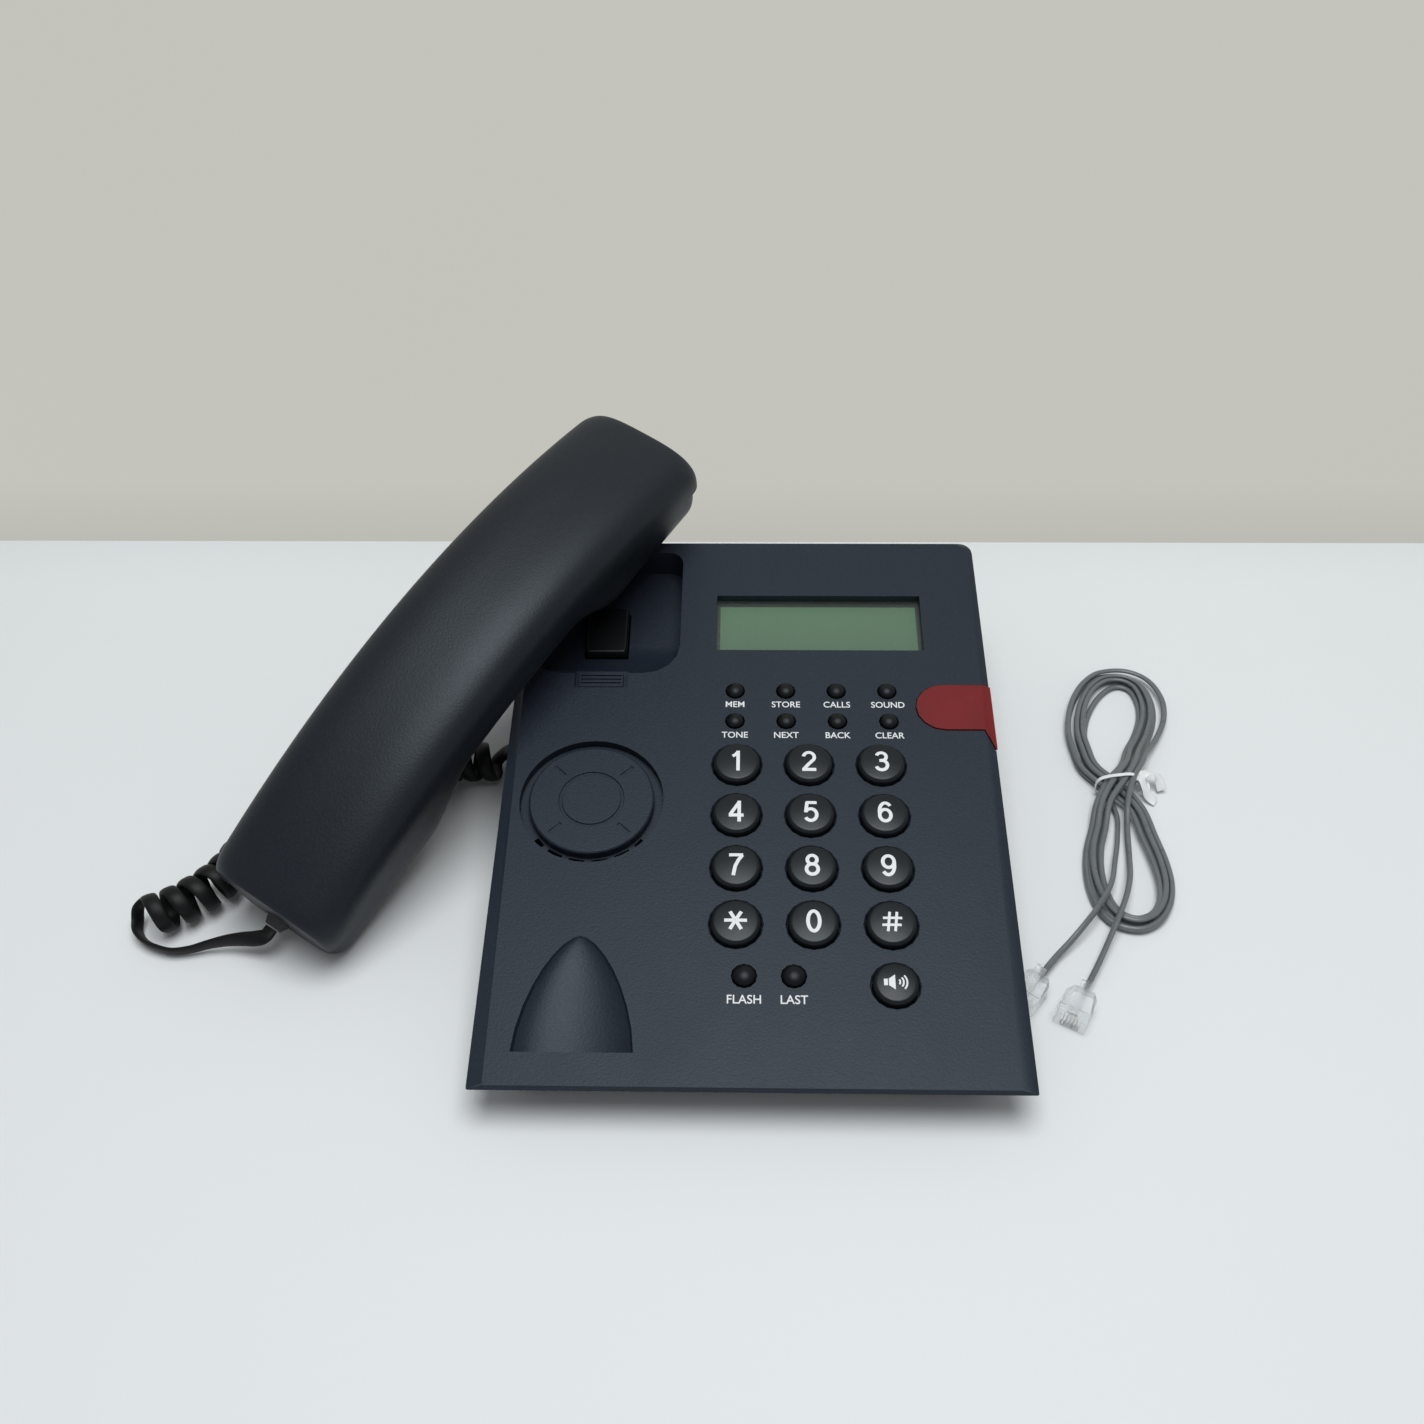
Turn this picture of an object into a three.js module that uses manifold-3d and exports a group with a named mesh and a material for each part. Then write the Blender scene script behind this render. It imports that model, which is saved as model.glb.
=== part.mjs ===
// Corded desk telephone with its handset lifted off and laid across the base.
// Millimetres, +Z up, the origin on the table under the middle of the base.

import * as THREE from 'three';
import { mergeVertices } from 'three/addons/utils/BufferGeometryUtils.js';
import Module from 'manifold-3d';

const wasm = await Module();
wasm.setup();

// Clearances and walls that many pieces share
const fitGap = 0.3;
const slideGap = 0.45;
const cutOverrun = 6;
const mergeTolerance = 0.001;

// Base: the sloped panel and the lower case
const panelWidth = 155;
const panelDepth = 200;
const panelSlopeDegrees = 10;
const lipHeight = 17;
const bevelFrontWidth = 4.5;
const bevelBackWidth = 2.2;
const bevelDrop = 1.3;
const backCornerRadius = 4.5;
const frontCornerRadius = 0.6;
const backEdgeSoftening = 1.6;
const coverWall = 2.5;
const skirtHeight = 9.7;
const skirtSideInset = 5;
const skirtFrontInset = 6;
const skirtBackInset = 2;
const skirtCornerRadius = 9;

// Lower case
const caseClearance = 1.5;
const caseWall = 2.2;
const caseFootInset = 3;
const rimHeight = 1.8;
const rimWall = 1.4;
const rimRoot = 3;

// Ear recess, mouthpiece scoop and loudspeaker well share one line down the panel
const cradleInset = 28.1;
const earRecessWidth = 51;
const earRecessFront = 143;
const earRecessBack = 197;
const earRecessDepth = 11;
const earRecessRamp = 20;
const earRecessFrontRadius = 12;
const earRecessBackRadius = 5;
const scoopFront = 10.3;
const scoopApex = 46;
const scoopWidth = 34;
const scoopDepth = 6;
const wellY = 93;
const wellRadius = 22.3;
const wellDepth = 3;
const grilleRadius = 19.4;
const grilleProud = 0.5;
const grilleChamfer = 0.5;
const grilleGroove = 0.5;
const grilleRingRadius = 9.6;
const grilleSpokeInner = 12.4;
const grilleSpokeOuter = 17.2;
const grilleSpokes = 4;
const wellSlots = 18;
const wellSlotWidth = 5;
const wellSlotRim = 0.5;

// Push buttons
const keypadX = 18.05;
const keypadY = 50.2;
const keyPitchX = 22.6;
const keyPitchY = 18.75;
const keyRadius = 7.35;
const keyProud = 2.4;
const keyShoulder = 0.85;
const keyCrown = 0.5;
const keyFlangeWidth = 1.15;
const keyFlangeThickness = 1.3;
const keyHoleChamfer = 0.4;
const keyTravel = 1.5;
const functionX = -5.3;
const functionY = 123.5;
const functionPitchX = 16.45;
const functionPitchY = 12.2;
const functionRadius = 2.8;
const functionProud = 1.9;
const flashX = -2.05;
const redialX = 12.1;
const flashY = 33.7;
const flashRadius = 3.35;
const flashProud = 2.2;
const speakerKeyX = 40.7;
const speakerKeyY = 31.1;
const speakerKeyRadius = 6.5;

// Display
const windowX = 22.8;
const windowY = 165;
const windowWidth = 69.2;
const windowHeight = 24;
const lensBorder = 2.2;
const lensThickness = 1.5;
const displayThickness = 4;

// Message lamp lens, which wraps over the right edge of the panel
const lampReach = 24.4;
const lampFront = 120.4;
const lampBack = 138.2;
const lampTailFront = 113.5;
const lampTailWidth = 3;
const lampProud = 0.4;
const lampThickness = 1.6;
const lampSkirt = 6;
const lampLightRadius = 3;

// Hook switch and handset retaining tab
const plungerWidth = 14;
const plungerLength = 20;
const plungerY = 167;
const plungerProud = 4.6;
const plungerCorner = 1;
const plungerFlangeWidth = 1.5;
const plungerFlangeThickness = 1.4;
const plungerTravel = 4;
const hookSwitchWidth = 6.5;
const hookSwitchLength = 13;
const hookSwitchHeight = 6;
const tabWidth = 14.4;
const tabLength = 6;
const tabThickness = 2;
const tabSlotWidth = 17.4;
const tabSlotFront = 137;
const tabRibs = 3;
const tabRibDepth = 0.5;
const tabGrooveShare = 0.2;

// Boards, loudspeaker and posts under the panel
const matThickness = 1.6;
const boardThickness = 1.6;
const boardLeft = -15;
const boardRight = 58;
const boardFront = 20;
const boardBack = 148;
const boardPostInset = 4.5;
const boardPostRadius = 2.6;
const matInset = 1;
const speakerRadius = 20;
const speakerRim = 1.6;
const speakerConeDepth = 7;
const magnetRadius = 11;
const magnetDepth = 5;

// Screws and feet
const screwSideInset = 11.5;
const screwFrontInset = 12;
const screwBackInset = 13;
const screwHeadRadius = 2.7;
const screwHeadHeight = 2;
const screwShankRadius = 1.4;
const screwShankLength = 8;
const screwSeatHeight = 4.4;
const screwBossRadius = 4.6;
const footSideInset = 22.5;
const footFrontInset = 24;
const footBackInset = 22;
const footRadius = 6;
const footHeight = 2.2;
const footSofteningShare = 0.2;

// Wall keyholes in the underside
const keyholeSpacing = 83;
const keyholeY = 20;
const keyholeRadius = 4.4;
const keyholeSlotRadius = 2.2;
const keyholeRise = 7;

// Jacks and small plugs
const jackHeight = 10;
const jackWall = 1.6;
const handsetPlugWidth = 7.6;
const handsetPlugHeight = 6;
const handsetPlugLength = 11.5;
const handsetPlugProud = 3;
const handsetJackY = 38;
const linePlugWidth = 9.65;
const linePlugHeight = 6.6;
const linePlugLength = 12.6;
const lineJackX = 40;
const lineJackDepth = 13;
const plugWallShare = 1 / 6;
const latchWidthShare = 1 / 3;
const latchThicknessShare = 1 / 7;

// Handset
const handsetLength = 199;
const handsetWidth = 47.5;
const handsetEndHeight = 30;
const handsetArch = 18;
const gripThickness = 27;
const partingHeight = 16;
const handsetWall = 2.2;
const frontShellInset = 1;
const cupLength = 47;
const cupBlend = 25;
const handsetEndRound = 7;
const handsetEndTuckShare = 0.14;
const backSectionPower = 2.6;
const frontSectionPower = 4;
const receiverInset = 25;
const receiverRadius = 12;
const receiverDepth = 6;
const microphoneInset = 26;
const microphoneRadius = 4.9;
const microphoneDepth = 5;
const soundHoleRadius = 1.2;
const soundHolePitch = 5.2;
const receiverHoles = 7;
const microphoneHoles = 5;
const capsuleLipShare = 1 / 6;
const coneThroatShare = 0.5;
const handsetScrewInset = 64;
const handsetScrewRadius = 2.4;
const handsetScrewLength = 5;
const handsetSocketHeight = 12;

// Where the handset lies: its mouth end on the table, its grip on the back edge of the base
const handsetStandOff = 66.7;
const handsetPlaceY = -34.4;
const handsetPlaceZ = 0.26;
const handsetTurnDegrees = 55.5;
const handsetRiseDegrees = 18.215;
const handsetRollDegrees = 12;

// Curly handset cord
const curlWireRadius = 1.7;
const curlRadius = 5.4;
const curlCount = 20;
const curlSteps = 8;
const curlSides = 5;

// Line cord, folded into a hank with a drawn-in waist
const lineRadius = 1.15;
const lineSides = 6;
const hankLoopsPerLayer = 3;
const hankSteps = 24;
const hankPitch = 3.15;
const hankLayerRise = 2.8;
const hankClimbShare = 0.5;
const hankStartShare = 0.25;
const hankOverlapShare = 0.5;
const endStep = 8;

// Twist tie
const tieWidth = 3.2;
const tieThickness = 0.6;
const tieLift = 0.9;
const tieTailLength = 11;

const slope = THREE.MathUtils.degToRad(panelSlopeDegrees);
const panelFront = -panelDepth / 2;
const panelBack = panelDepth / 2;
const panelHalf = panelWidth / 2;
const skirtHalf = panelHalf - skirtSideInset;
const skirtFront = panelFront + skirtFrontInset;
const skirtBack = panelBack - skirtBackInset;
const cradleX = cradleInset - panelHalf;
const lampLeft = panelHalf - lampReach;
const recessFloorUnder = -earRecessDepth - coverWall;
const screwPlaces = [
  ['front_left', screwSideInset - skirtHalf, skirtFront + screwFrontInset],
  ['front_right', skirtHalf - screwSideInset, skirtFront + screwFrontInset],
  ['rear_left', screwSideInset - skirtHalf, skirtBack - screwBackInset],
  ['rear_right', skirtHalf - screwSideInset, skirtBack - screwBackInset],
];
const footPlaces = [
  ['front_left', footSideInset - skirtHalf, skirtFront + footFrontInset],
  ['front_right', skirtHalf - footSideInset, skirtFront + footFrontInset],
  ['rear_left', footSideInset - skirtHalf, skirtBack - footBackInset],
  ['rear_right', skirtHalf - footSideInset, skirtBack - footBackInset],
];
const handsetScrewPlaces = [handsetScrewInset, handsetLength - handsetScrewInset];
const receiverX = handsetLength - receiverInset;
const microphoneX = microphoneInset;
const handsetPlaceX = -panelHalf - handsetStandOff;

const colours = {
  charcoal: { color: 0x2d3035, roughness: 0.62, metalness: 0 },
  black: { color: 0x17181a, roughness: 0.45, metalness: 0 },
  clear: { color: 0xdfe4e6, roughness: 0.15, metalness: 0 },
  glass: { color: 0x6f8f76, roughness: 0.2, metalness: 0 },
  lamp: { color: 0x8c2227, roughness: 0.3, metalness: 0 },
  board: { color: 0x1f5a35, roughness: 0.5, metalness: 0 },
  rubber: { color: 0x3a3c3e, roughness: 0.85, metalness: 0 },
  steel: { color: 0xa9adb0, roughness: 0.35, metalness: 0.9 },
  grey: { color: 0x83898c, roughness: 0.55, metalness: 0 },
  white: { color: 0xe9e9e6, roughness: 0.6, metalness: 0 },
};

// Helpers: closed geometry to solid and back

function toSolid(geometry) {
  const bare = geometry.clone();
  bare.deleteAttribute('normal');
  bare.deleteAttribute('uv');
  const merged = mergeVertices(bare, mergeTolerance);
  const mesh = new wasm.Mesh({
    numProp: 3,
    vertProperties: new Float32Array(merged.attributes.position.array),
    triVerts: new Uint32Array(merged.index.array),
  });
  return new wasm.Manifold(mesh);
}

function toGeometry(solid) {
  const mesh = solid.getMesh();
  const geometry = new THREE.BufferGeometry();
  geometry.setAttribute('position', new THREE.BufferAttribute(new Float32Array(mesh.vertProperties), 3));
  geometry.setIndex(new THREE.BufferAttribute(new Uint32Array(mesh.triVerts), 1));
  geometry.computeVertexNormals();
  return geometry;
}

function cut(solid, ...tools) {
  return tools.reduce((left, tool) => left.subtract(tool), solid);
}

function join(solid, ...others) {
  return others.reduce((left, other) => left.add(other), solid);
}

function meet(solid, ...others) {
  return others.reduce((left, other) => left.intersect(other), solid);
}

function piece(name, shape, colour) {
  const geometry = shape.isBufferGeometry ? shape : toGeometry(shape);
  const mesh = new THREE.Mesh(geometry, new THREE.MeshStandardMaterial(colours[colour]));
  mesh.name = name;
  return mesh;
}

// Helpers: outlines

function roundedPolygon(corners, radii, steps) {
  const points = [];
  const count = corners.length;
  corners.forEach((corner, i) => {
    const before = corners[(i + count - 1) % count].clone().sub(corner).normalize();
    const after = corners[(i + 1) % count].clone().sub(corner).normalize();
    const half = Math.acos(THREE.MathUtils.clamp(before.dot(after), -1, 1)) / 2;
    const bisector = before.clone().add(after).normalize();
    const centre = corner.clone().addScaledVector(bisector, radii[i] / Math.sin(half));
    const start = corner.clone().addScaledVector(before, radii[i] / Math.tan(half)).sub(centre);
    const sweep = Math.PI - 2 * half;
    for (let k = 0; k <= steps; k += 1) {
      const point = start.clone().rotateAround(new THREE.Vector2(), (sweep * k) / steps);
      points.push(point.add(centre));
    }
  });
  return points;
}

function rectanglePoints(left, right, front, back) {
  return [
    new THREE.Vector2(left, front),
    new THREE.Vector2(right, front),
    new THREE.Vector2(right, back),
    new THREE.Vector2(left, back),
  ];
}

function roundedRectangle(left, right, front, back, radius, steps) {
  return roundedPolygon(rectanglePoints(left, right, front, back), [radius, radius, radius, radius], steps);
}

// Helpers: closed geometries

function prism(points, low, high) {
  const shape = new THREE.Shape(points);
  const geometry = new THREE.ExtrudeGeometry(shape, { depth: high - low, bevelEnabled: false });
  return geometry.translate(0, 0, low);
}

function block(left, right, front, back, low, high) {
  const geometry = new THREE.BoxGeometry(right - left, back - front, high - low);
  return geometry.translate((left + right) / 2, (front + back) / 2, (low + high) / 2);
}

function turned(profile, segments) {
  const points = profile.map(([radius, height]) => new THREE.Vector2(radius, height));
  return new THREE.LatheGeometry(points, segments).rotateX(Math.PI / 2);
}

function disc(radius, low, high, segments) {
  return turned([[0, low], [radius, low], [radius, high], [0, high]], segments);
}

// A profile in the panel's length and height, carried across it
function acrossPanel(points, left, right) {
  const geometry = prism(points, left, right);
  return geometry.applyMatrix4(new THREE.Matrix4().makeBasis(
    new THREE.Vector3(0, 1, 0),
    new THREE.Vector3(0, 0, 1),
    new THREE.Vector3(1, 0, 0),
  ));
}

// Closed skin over rings of equal counts that run anticlockwise seen against their way
function loft(rings) {
  const count = rings[0].length;
  const positions = rings.flat().flatMap((point) => [point.x, point.y, point.z]);
  const index = [];
  for (let i = 0; i < rings.length - 1; i += 1) {
    for (let j = 0; j < count; j += 1) {
      const a = i * count + j;
      const b = i * count + ((j + 1) % count);
      index.push(a, b, b + count, a, b + count, a + count);
    }
  }
  const last = (rings.length - 1) * count;
  const flat = (ring) => ring.map((point) => new THREE.Vector2(point.x, point.y));
  THREE.ShapeUtils.triangulateShape(flat(rings[0]), []).forEach(([a, b, c]) => index.push(c, b, a));
  THREE.ShapeUtils.triangulateShape(flat(rings.at(-1)), [])
    .forEach(([a, b, c]) => index.push(last + a, last + b, last + c));
  const geometry = new THREE.BufferGeometry();
  geometry.setAttribute('position', new THREE.Float32BufferAttribute(positions, 3));
  geometry.setIndex(index);
  return geometry;
}

function level(points, height) {
  return points.map((point) => new THREE.Vector3(point.x, point.y, height));
}

// Height of the panel's plane over a place on the table, lowered square to the panel
function panelHeight(y, lowered) {
  return lipHeight + (y - panelFront) * Math.tan(slope) - lowered / Math.cos(slope);
}

function onPanelPlane(points, lowered) {
  return points.map((point) => new THREE.Vector3(point.x, point.y, panelHeight(point.y, lowered)));
}

const panelMatrix = new THREE.Matrix4().makeRotationX(slope).setPosition(0, panelFront, lipHeight);

function panelSolid(geometry) {
  return toSolid(geometry.applyMatrix4(panelMatrix));
}

// Outlines of the base

const cornerSteps = 4;

function skirtOutline(inset) {
  const corners = rectanglePoints(
    inset - skirtHalf,
    skirtHalf - inset,
    skirtFront + inset,
    skirtBack - inset,
  );
  const radius = skirtCornerRadius - inset;
  return roundedPolygon(corners, [radius, radius, radius, radius], cornerSteps);
}

function edgeOutline(inset) {
  const corners = rectanglePoints(
    inset - panelHalf,
    panelHalf - inset,
    panelFront + inset,
    panelBack - inset,
  );
  const radii = [frontCornerRadius, frontCornerRadius, backCornerRadius, backCornerRadius];
  return roundedPolygon(corners, radii, cornerSteps);
}

function flatOutline() {
  const front = panelFront + frontCornerRadius;
  const back = panelBack - backEdgeSoftening;
  const corners = [
    new THREE.Vector2(-panelHalf + bevelFrontWidth, front),
    new THREE.Vector2(panelHalf - bevelFrontWidth, front),
    new THREE.Vector2(panelHalf - bevelBackWidth, back),
    new THREE.Vector2(-panelHalf + bevelBackWidth, back),
  ];
  const radii = [frontCornerRadius, frontCornerRadius, backCornerRadius, backCornerRadius];
  return roundedPolygon(corners, radii, cornerSteps);
}

// The base's outer form down to the skirt's foot, grown or shrunk square to its faces
function baseForm(grow) {
  return toSolid(loft([
    level(skirtOutline(-grow), skirtHeight),
    onPanelPlane(edgeOutline(-grow), bevelDrop - grow),
    onPanelPlane(flatOutline(), -grow),
  ]));
}

// Pockets in the panel, which the cover's inside goes round with its wall

function earPocket(grow) {
  const left = cradleX - earRecessWidth / 2 - grow;
  const right = cradleX + earRecessWidth / 2 + grow;
  const front = earRecessFront - grow;
  const back = earRecessBack + grow;
  const corners = rectanglePoints(left, right, front, back);
  const frontRadius = earRecessFrontRadius + grow;
  const backRadius = earRecessBackRadius + grow;
  const plan = roundedPolygon(corners, [frontRadius, frontRadius, backRadius, backRadius], cornerSteps);
  const floor = -earRecessDepth - grow;
  const rampEnd = new THREE.Vector2(front + earRecessRamp, floor);
  const ramp = new THREE.QuadraticBezierCurve(
    new THREE.Vector2(front, -grow),
    new THREE.Vector2(front + earRecessRamp / 2, floor),
    rampEnd,
  );
  const profile = [
    ...ramp.getPoints(cornerSteps),
    new THREE.Vector2(back, floor),
    new THREE.Vector2(back, cutOverrun),
    new THREE.Vector2(front, cutOverrun),
  ];
  return meet(
    panelSolid(prism(plan, floor, cutOverrun)),
    panelSolid(acrossPanel(profile, left, right)),
  );
}

const scoopSteps = 8;
const scoopSegments = 24;
const scoopBowShare = 0.62;

function scoopPocket(grow) {
  const front = scoopFront - grow;
  const length = scoopApex + grow - front;
  const radius = scoopWidth / 2 + grow;
  const profile = [[0, 0], [radius, 0]];
  for (let i = 1; i < scoopSteps; i += 1) {
    const along = Math.sin((Math.PI * i) / (2 * scoopSteps));
    const across = (1 - along ** (1 / scoopBowShare)) ** scoopBowShare;
    profile.push([radius * across, length * along]);
  }
  profile.push([0, length]);
  const points = profile.map(([across, along]) => new THREE.Vector2(across, along));
  const geometry = new THREE.LatheGeometry(points, scoopSegments);
  geometry.scale(1, 1, (scoopDepth + grow) / radius);
  return panelSolid(geometry.translate(cradleX, front, 0));
}

const roundSegments = 40;

function wellPocket(grow) {
  return panelSolid(disc(wellRadius + grow, -wellDepth - grow, cutOverrun, roundSegments)
    .translate(cradleX, wellY, 0));
}

function lampOutline(grow) {
  const middle = (lampFront + lampBack) / 2;
  const radius = (lampBack - lampFront) / 2;
  const outer = panelHalf + cutOverrun;
  const shape = [];
  for (let i = 0; i <= 2 * cornerSteps; i += 1) {
    const angle = Math.PI / 2 + (Math.PI * i) / (2 * cornerSteps);
    shape.push(new THREE.Vector2(
      lampLeft + radius + (radius + grow) * Math.cos(angle),
      middle + (radius + grow) * Math.sin(angle),
    ));
  }
  shape.push(
    new THREE.Vector2(panelHalf - lampTailWidth - grow, lampFront - grow),
    new THREE.Vector2(panelHalf - grow, lampTailFront - grow),
    new THREE.Vector2(outer, lampTailFront - grow),
    new THREE.Vector2(outer, lampBack + grow),
  );
  return shape;
}

function lampSlab(grow) {
  return panelSolid(prism(lampOutline(grow), -lampSkirt - grow, cutOverrun));
}

// Round holes

const keySegments = 16;
const smallSegments = 12;
const domeSteps = 3;

function holeCutter(radius, chamfer, segments) {
  return turned([
    [0, -coverWall - cutOverrun],
    [radius, -coverWall - cutOverrun],
    [radius, -chamfer],
    [radius + chamfer, 0],
    [radius + chamfer, cutOverrun],
    [0, cutOverrun],
  ], segments);
}

const dialNames = ['star', '0', 'hash', '7', '8', '9', '4', '5', '6', '1', '2', '3'];

const dialKeys = dialNames.map((name, i) => ({
  name: `key_${name}`,
  x: keypadX + ((i % 3) - 1) * keyPitchX,
  y: keypadY + Math.floor(i / 3) * keyPitchY,
  radius: keyRadius,
  proud: keyProud,
  segments: keySegments,
}));

const functionNames = ['ring', 'up', 'down', 'delete', 'memory', 'set', 'out', 'volume'];

const functionKeys = functionNames.map((name, i) => ({
  name: `key_${name}`,
  x: functionX + (i % 4) * functionPitchX,
  y: functionY + Math.floor(i / 4) * functionPitchY,
  radius: functionRadius,
  proud: functionProud,
  segments: smallSegments,
}));

const serviceKeys = [['key_flash', flashX], ['key_redial', redialX]].map(([name, x]) => ({
  name,
  x,
  y: flashY,
  radius: flashRadius,
  proud: flashProud,
  segments: smallSegments,
}));

const speakerKey = {
  name: 'key_speaker',
  x: speakerKeyX,
  y: speakerKeyY,
  radius: speakerKeyRadius,
  proud: keyProud,
  segments: keySegments,
};

const flatKeys = [...dialKeys, speakerKey];
const domedKeys = [...functionKeys, ...serviceKeys];

// Top cover

const boardTop = -(coverWall + fitGap + keyFlangeThickness + keyTravel + fitGap + matThickness + fitGap);
const boardPosts = [
  [boardLeft + boardPostInset, boardFront + boardPostInset],
  [boardRight - boardPostInset, boardFront + boardPostInset],
  [boardLeft + boardPostInset, boardBack - boardPostInset],
  [boardRight - boardPostInset, boardBack - boardPostInset],
];
const pilotDepth = screwShankLength + screwSeatHeight + fitGap;

function jackNotch(width, height, left, right, front, back) {
  const middleX = (left + right) / 2;
  const middleY = (front + back) / 2;
  const alongX = right - left > back - front;
  const halfX = alongX ? (right - left) / 2 : width / 2;
  const halfY = alongX ? width / 2 : (back - front) / 2;
  return toSolid(block(
    middleX - halfX,
    middleX + halfX,
    middleY - halfY,
    middleY + halfY,
    jackHeight - height / 2,
    jackHeight + height / 2,
  ));
}

const handsetSocketWidth = handsetPlugWidth + 2 * fitGap;
const handsetSocketTall = handsetPlugHeight + 2 * fitGap;
const lineSocketWidth = linePlugWidth + 2 * fitGap;
const lineSocketTall = linePlugHeight + 2 * fitGap;
const handsetJackFace = coverWall + fitGap - skirtHalf;
const lineJackFace = skirtBack - coverWall - fitGap;
const handsetJackDepth = handsetPlugLength - handsetPlugProud + fitGap - coverWall;

const leftNotch = jackNotch(
  handsetSocketWidth,
  handsetSocketTall,
  -panelHalf - cutOverrun,
  handsetJackFace + caseWall,
  handsetJackY,
  handsetJackY,
);
const rearNotch = jackNotch(
  lineSocketWidth,
  lineSocketTall,
  lineJackX,
  lineJackX,
  lineJackFace - caseWall,
  panelBack + cutOverrun,
);

const handsetJackBay = toSolid(block(
  handsetJackFace - fitGap,
  handsetJackFace + handsetJackDepth + jackWall + fitGap,
  handsetJackY - handsetSocketWidth / 2 - jackWall - fitGap,
  handsetJackY + handsetSocketWidth / 2 + jackWall + fitGap,
  jackHeight - handsetSocketTall / 2 - jackWall - fitGap,
  jackHeight + handsetSocketTall / 2 + jackWall + fitGap,
));
const lineJackBay = toSolid(block(
  lineJackX - lineSocketWidth / 2 - jackWall - fitGap,
  lineJackX + lineSocketWidth / 2 + jackWall + fitGap,
  lineJackFace - lineJackDepth - jackWall - fitGap,
  lineJackFace + fitGap,
  jackHeight - lineSocketTall / 2 - jackWall - fitGap,
  jackHeight + lineSocketTall / 2 + jackWall + fitGap,
));

function coverInside() {
  const hollow = toSolid(loft([
    level(skirtOutline(coverWall), skirtHeight - cutOverrun),
    level(skirtOutline(coverWall), skirtHeight),
    onPanelPlane(edgeOutline(coverWall + bevelDrop), coverWall),
  ]));
  const posts = boardPosts.map(([x, y]) => panelSolid(
    disc(boardPostRadius, boardTop + fitGap, 0, smallSegments).translate(x, y, 0),
  ));
  const bosses = screwPlaces.map(([, x, y]) => toSolid(
    disc(screwBossRadius, skirtHeight, panelHeight(y, 0), smallSegments).translate(x, y, 0),
  ));
  return cut(
    hollow,
    earPocket(coverWall),
    scoopPocket(coverWall),
    wellPocket(coverWall),
    ...posts,
    ...bosses,
  );
}

function wellSlotCutters() {
  const cutters = [];
  for (let i = 0; i < wellSlots; i += 1) {
    const slot = block(
      grilleRadius + wellSlotRim,
      wellRadius - wellSlotRim,
      -wellSlotWidth / 2,
      wellSlotWidth / 2,
      -wellDepth - coverWall - cutOverrun,
      fitGap - wellDepth,
    );
    slot.rotateZ((2 * Math.PI * i) / wellSlots);
    cutters.push(panelSolid(slot.translate(cradleX, wellY, 0)));
  }
  return cutters;
}

function topCover() {
  const shell = cut(baseForm(0), coverInside());
  const rimRadius = (key) => key.radius + slideGap;
  const keyHoles = flatKeys.map((key) => panelSolid(
    holeCutter(rimRadius(key), keyHoleChamfer, key.segments).translate(key.x, key.y, 0),
  ));
  const domeHoles = domedKeys.map((key) => panelSolid(
    disc(rimRadius(key), -coverWall - cutOverrun, cutOverrun, key.segments).translate(key.x, key.y, 0),
  ));
  const displayHole = panelSolid(block(
    windowX - windowWidth / 2,
    windowX + windowWidth / 2,
    windowY - windowHeight / 2,
    windowY + windowHeight / 2,
    -coverWall - cutOverrun,
    cutOverrun,
  ));
  const plungerHole = panelSolid(block(
    cradleX - plungerWidth / 2 - slideGap,
    cradleX + plungerWidth / 2 + slideGap,
    plungerY - plungerLength / 2 - slideGap,
    plungerY + plungerLength / 2 + slideGap,
    recessFloorUnder - cutOverrun,
    0,
  ));
  const tabSlot = panelSolid(block(
    cradleX - tabSlotWidth / 2,
    cradleX + tabSlotWidth / 2,
    tabSlotFront,
    earRecessFront + tabLength,
    -tabThickness - fitGap,
    cutOverrun,
  ));
  const lampBed = cut(lampSlab(fitGap), baseForm(-(lampThickness - lampProud + fitGap)));
  const lampLight = panelSolid(
    disc(lampLightRadius, -coverWall - cutOverrun, 0, smallSegments)
      .translate(lampLeft + (lampBack - lampFront) / 2, (lampFront + lampBack) / 2, 0),
  );
  const backing = join(
    meet(lampSlab(coverWall), cut(baseForm(0), baseForm(-(lampThickness + coverWall)))),
    panelSolid(block(
      cradleX - tabSlotWidth / 2 - coverWall,
      cradleX + tabSlotWidth / 2 + coverWall,
      tabSlotFront - coverWall,
      earRecessFront + tabLength,
      -tabThickness - coverWall,
      -coverWall / 2,
    )),
  );
  const pilots = screwPlaces.map(([, x, y]) => toSolid(
    disc(screwShankRadius + fitGap, 0, pilotDepth, smallSegments).translate(x, y, 0),
  ));
  return cut(
    join(shell, cut(backing, earPocket(0))),
    earPocket(0),
    scoopPocket(0),
    wellPocket(0),
    ...wellSlotCutters(),
    ...keyHoles,
    ...domeHoles,
    displayHole,
    plungerHole,
    tabSlot,
    lampBed,
    lampLight,
    ...pilots,
    leftNotch,
    rearNotch,
  );
}

function lampLens() {
  return cut(meet(lampSlab(0), baseForm(lampProud)), baseForm(-(lampThickness - lampProud)));
}

// Bottom case

const caseTop = skirtHeight - fitGap;

function caseOutline(inset) {
  const half = skirtHalf - caseFootInset - inset;
  const front = skirtFront + caseFootInset + inset;
  const back = skirtBack - caseFootInset - inset;
  return roundedRectangle(-half, half, front, back, skirtCornerRadius - inset, cornerSteps);
}

function keyholeCutter(x) {
  const disk = disc(keyholeRadius, 0, caseClearance + caseWall + cutOverrun, smallSegments);
  const slot = disc(keyholeSlotRadius, 0, caseClearance + caseWall + cutOverrun, smallSegments);
  const neck = block(
    -keyholeSlotRadius,
    keyholeSlotRadius,
    0,
    keyholeRise,
    0,
    caseClearance + caseWall + cutOverrun,
  );
  const solids = [disk, slot.translate(0, keyholeRise, 0), neck]
    .map((geometry) => toSolid(geometry.translate(x, keyholeY, 0)));
  return join(...solids);
}

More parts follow.
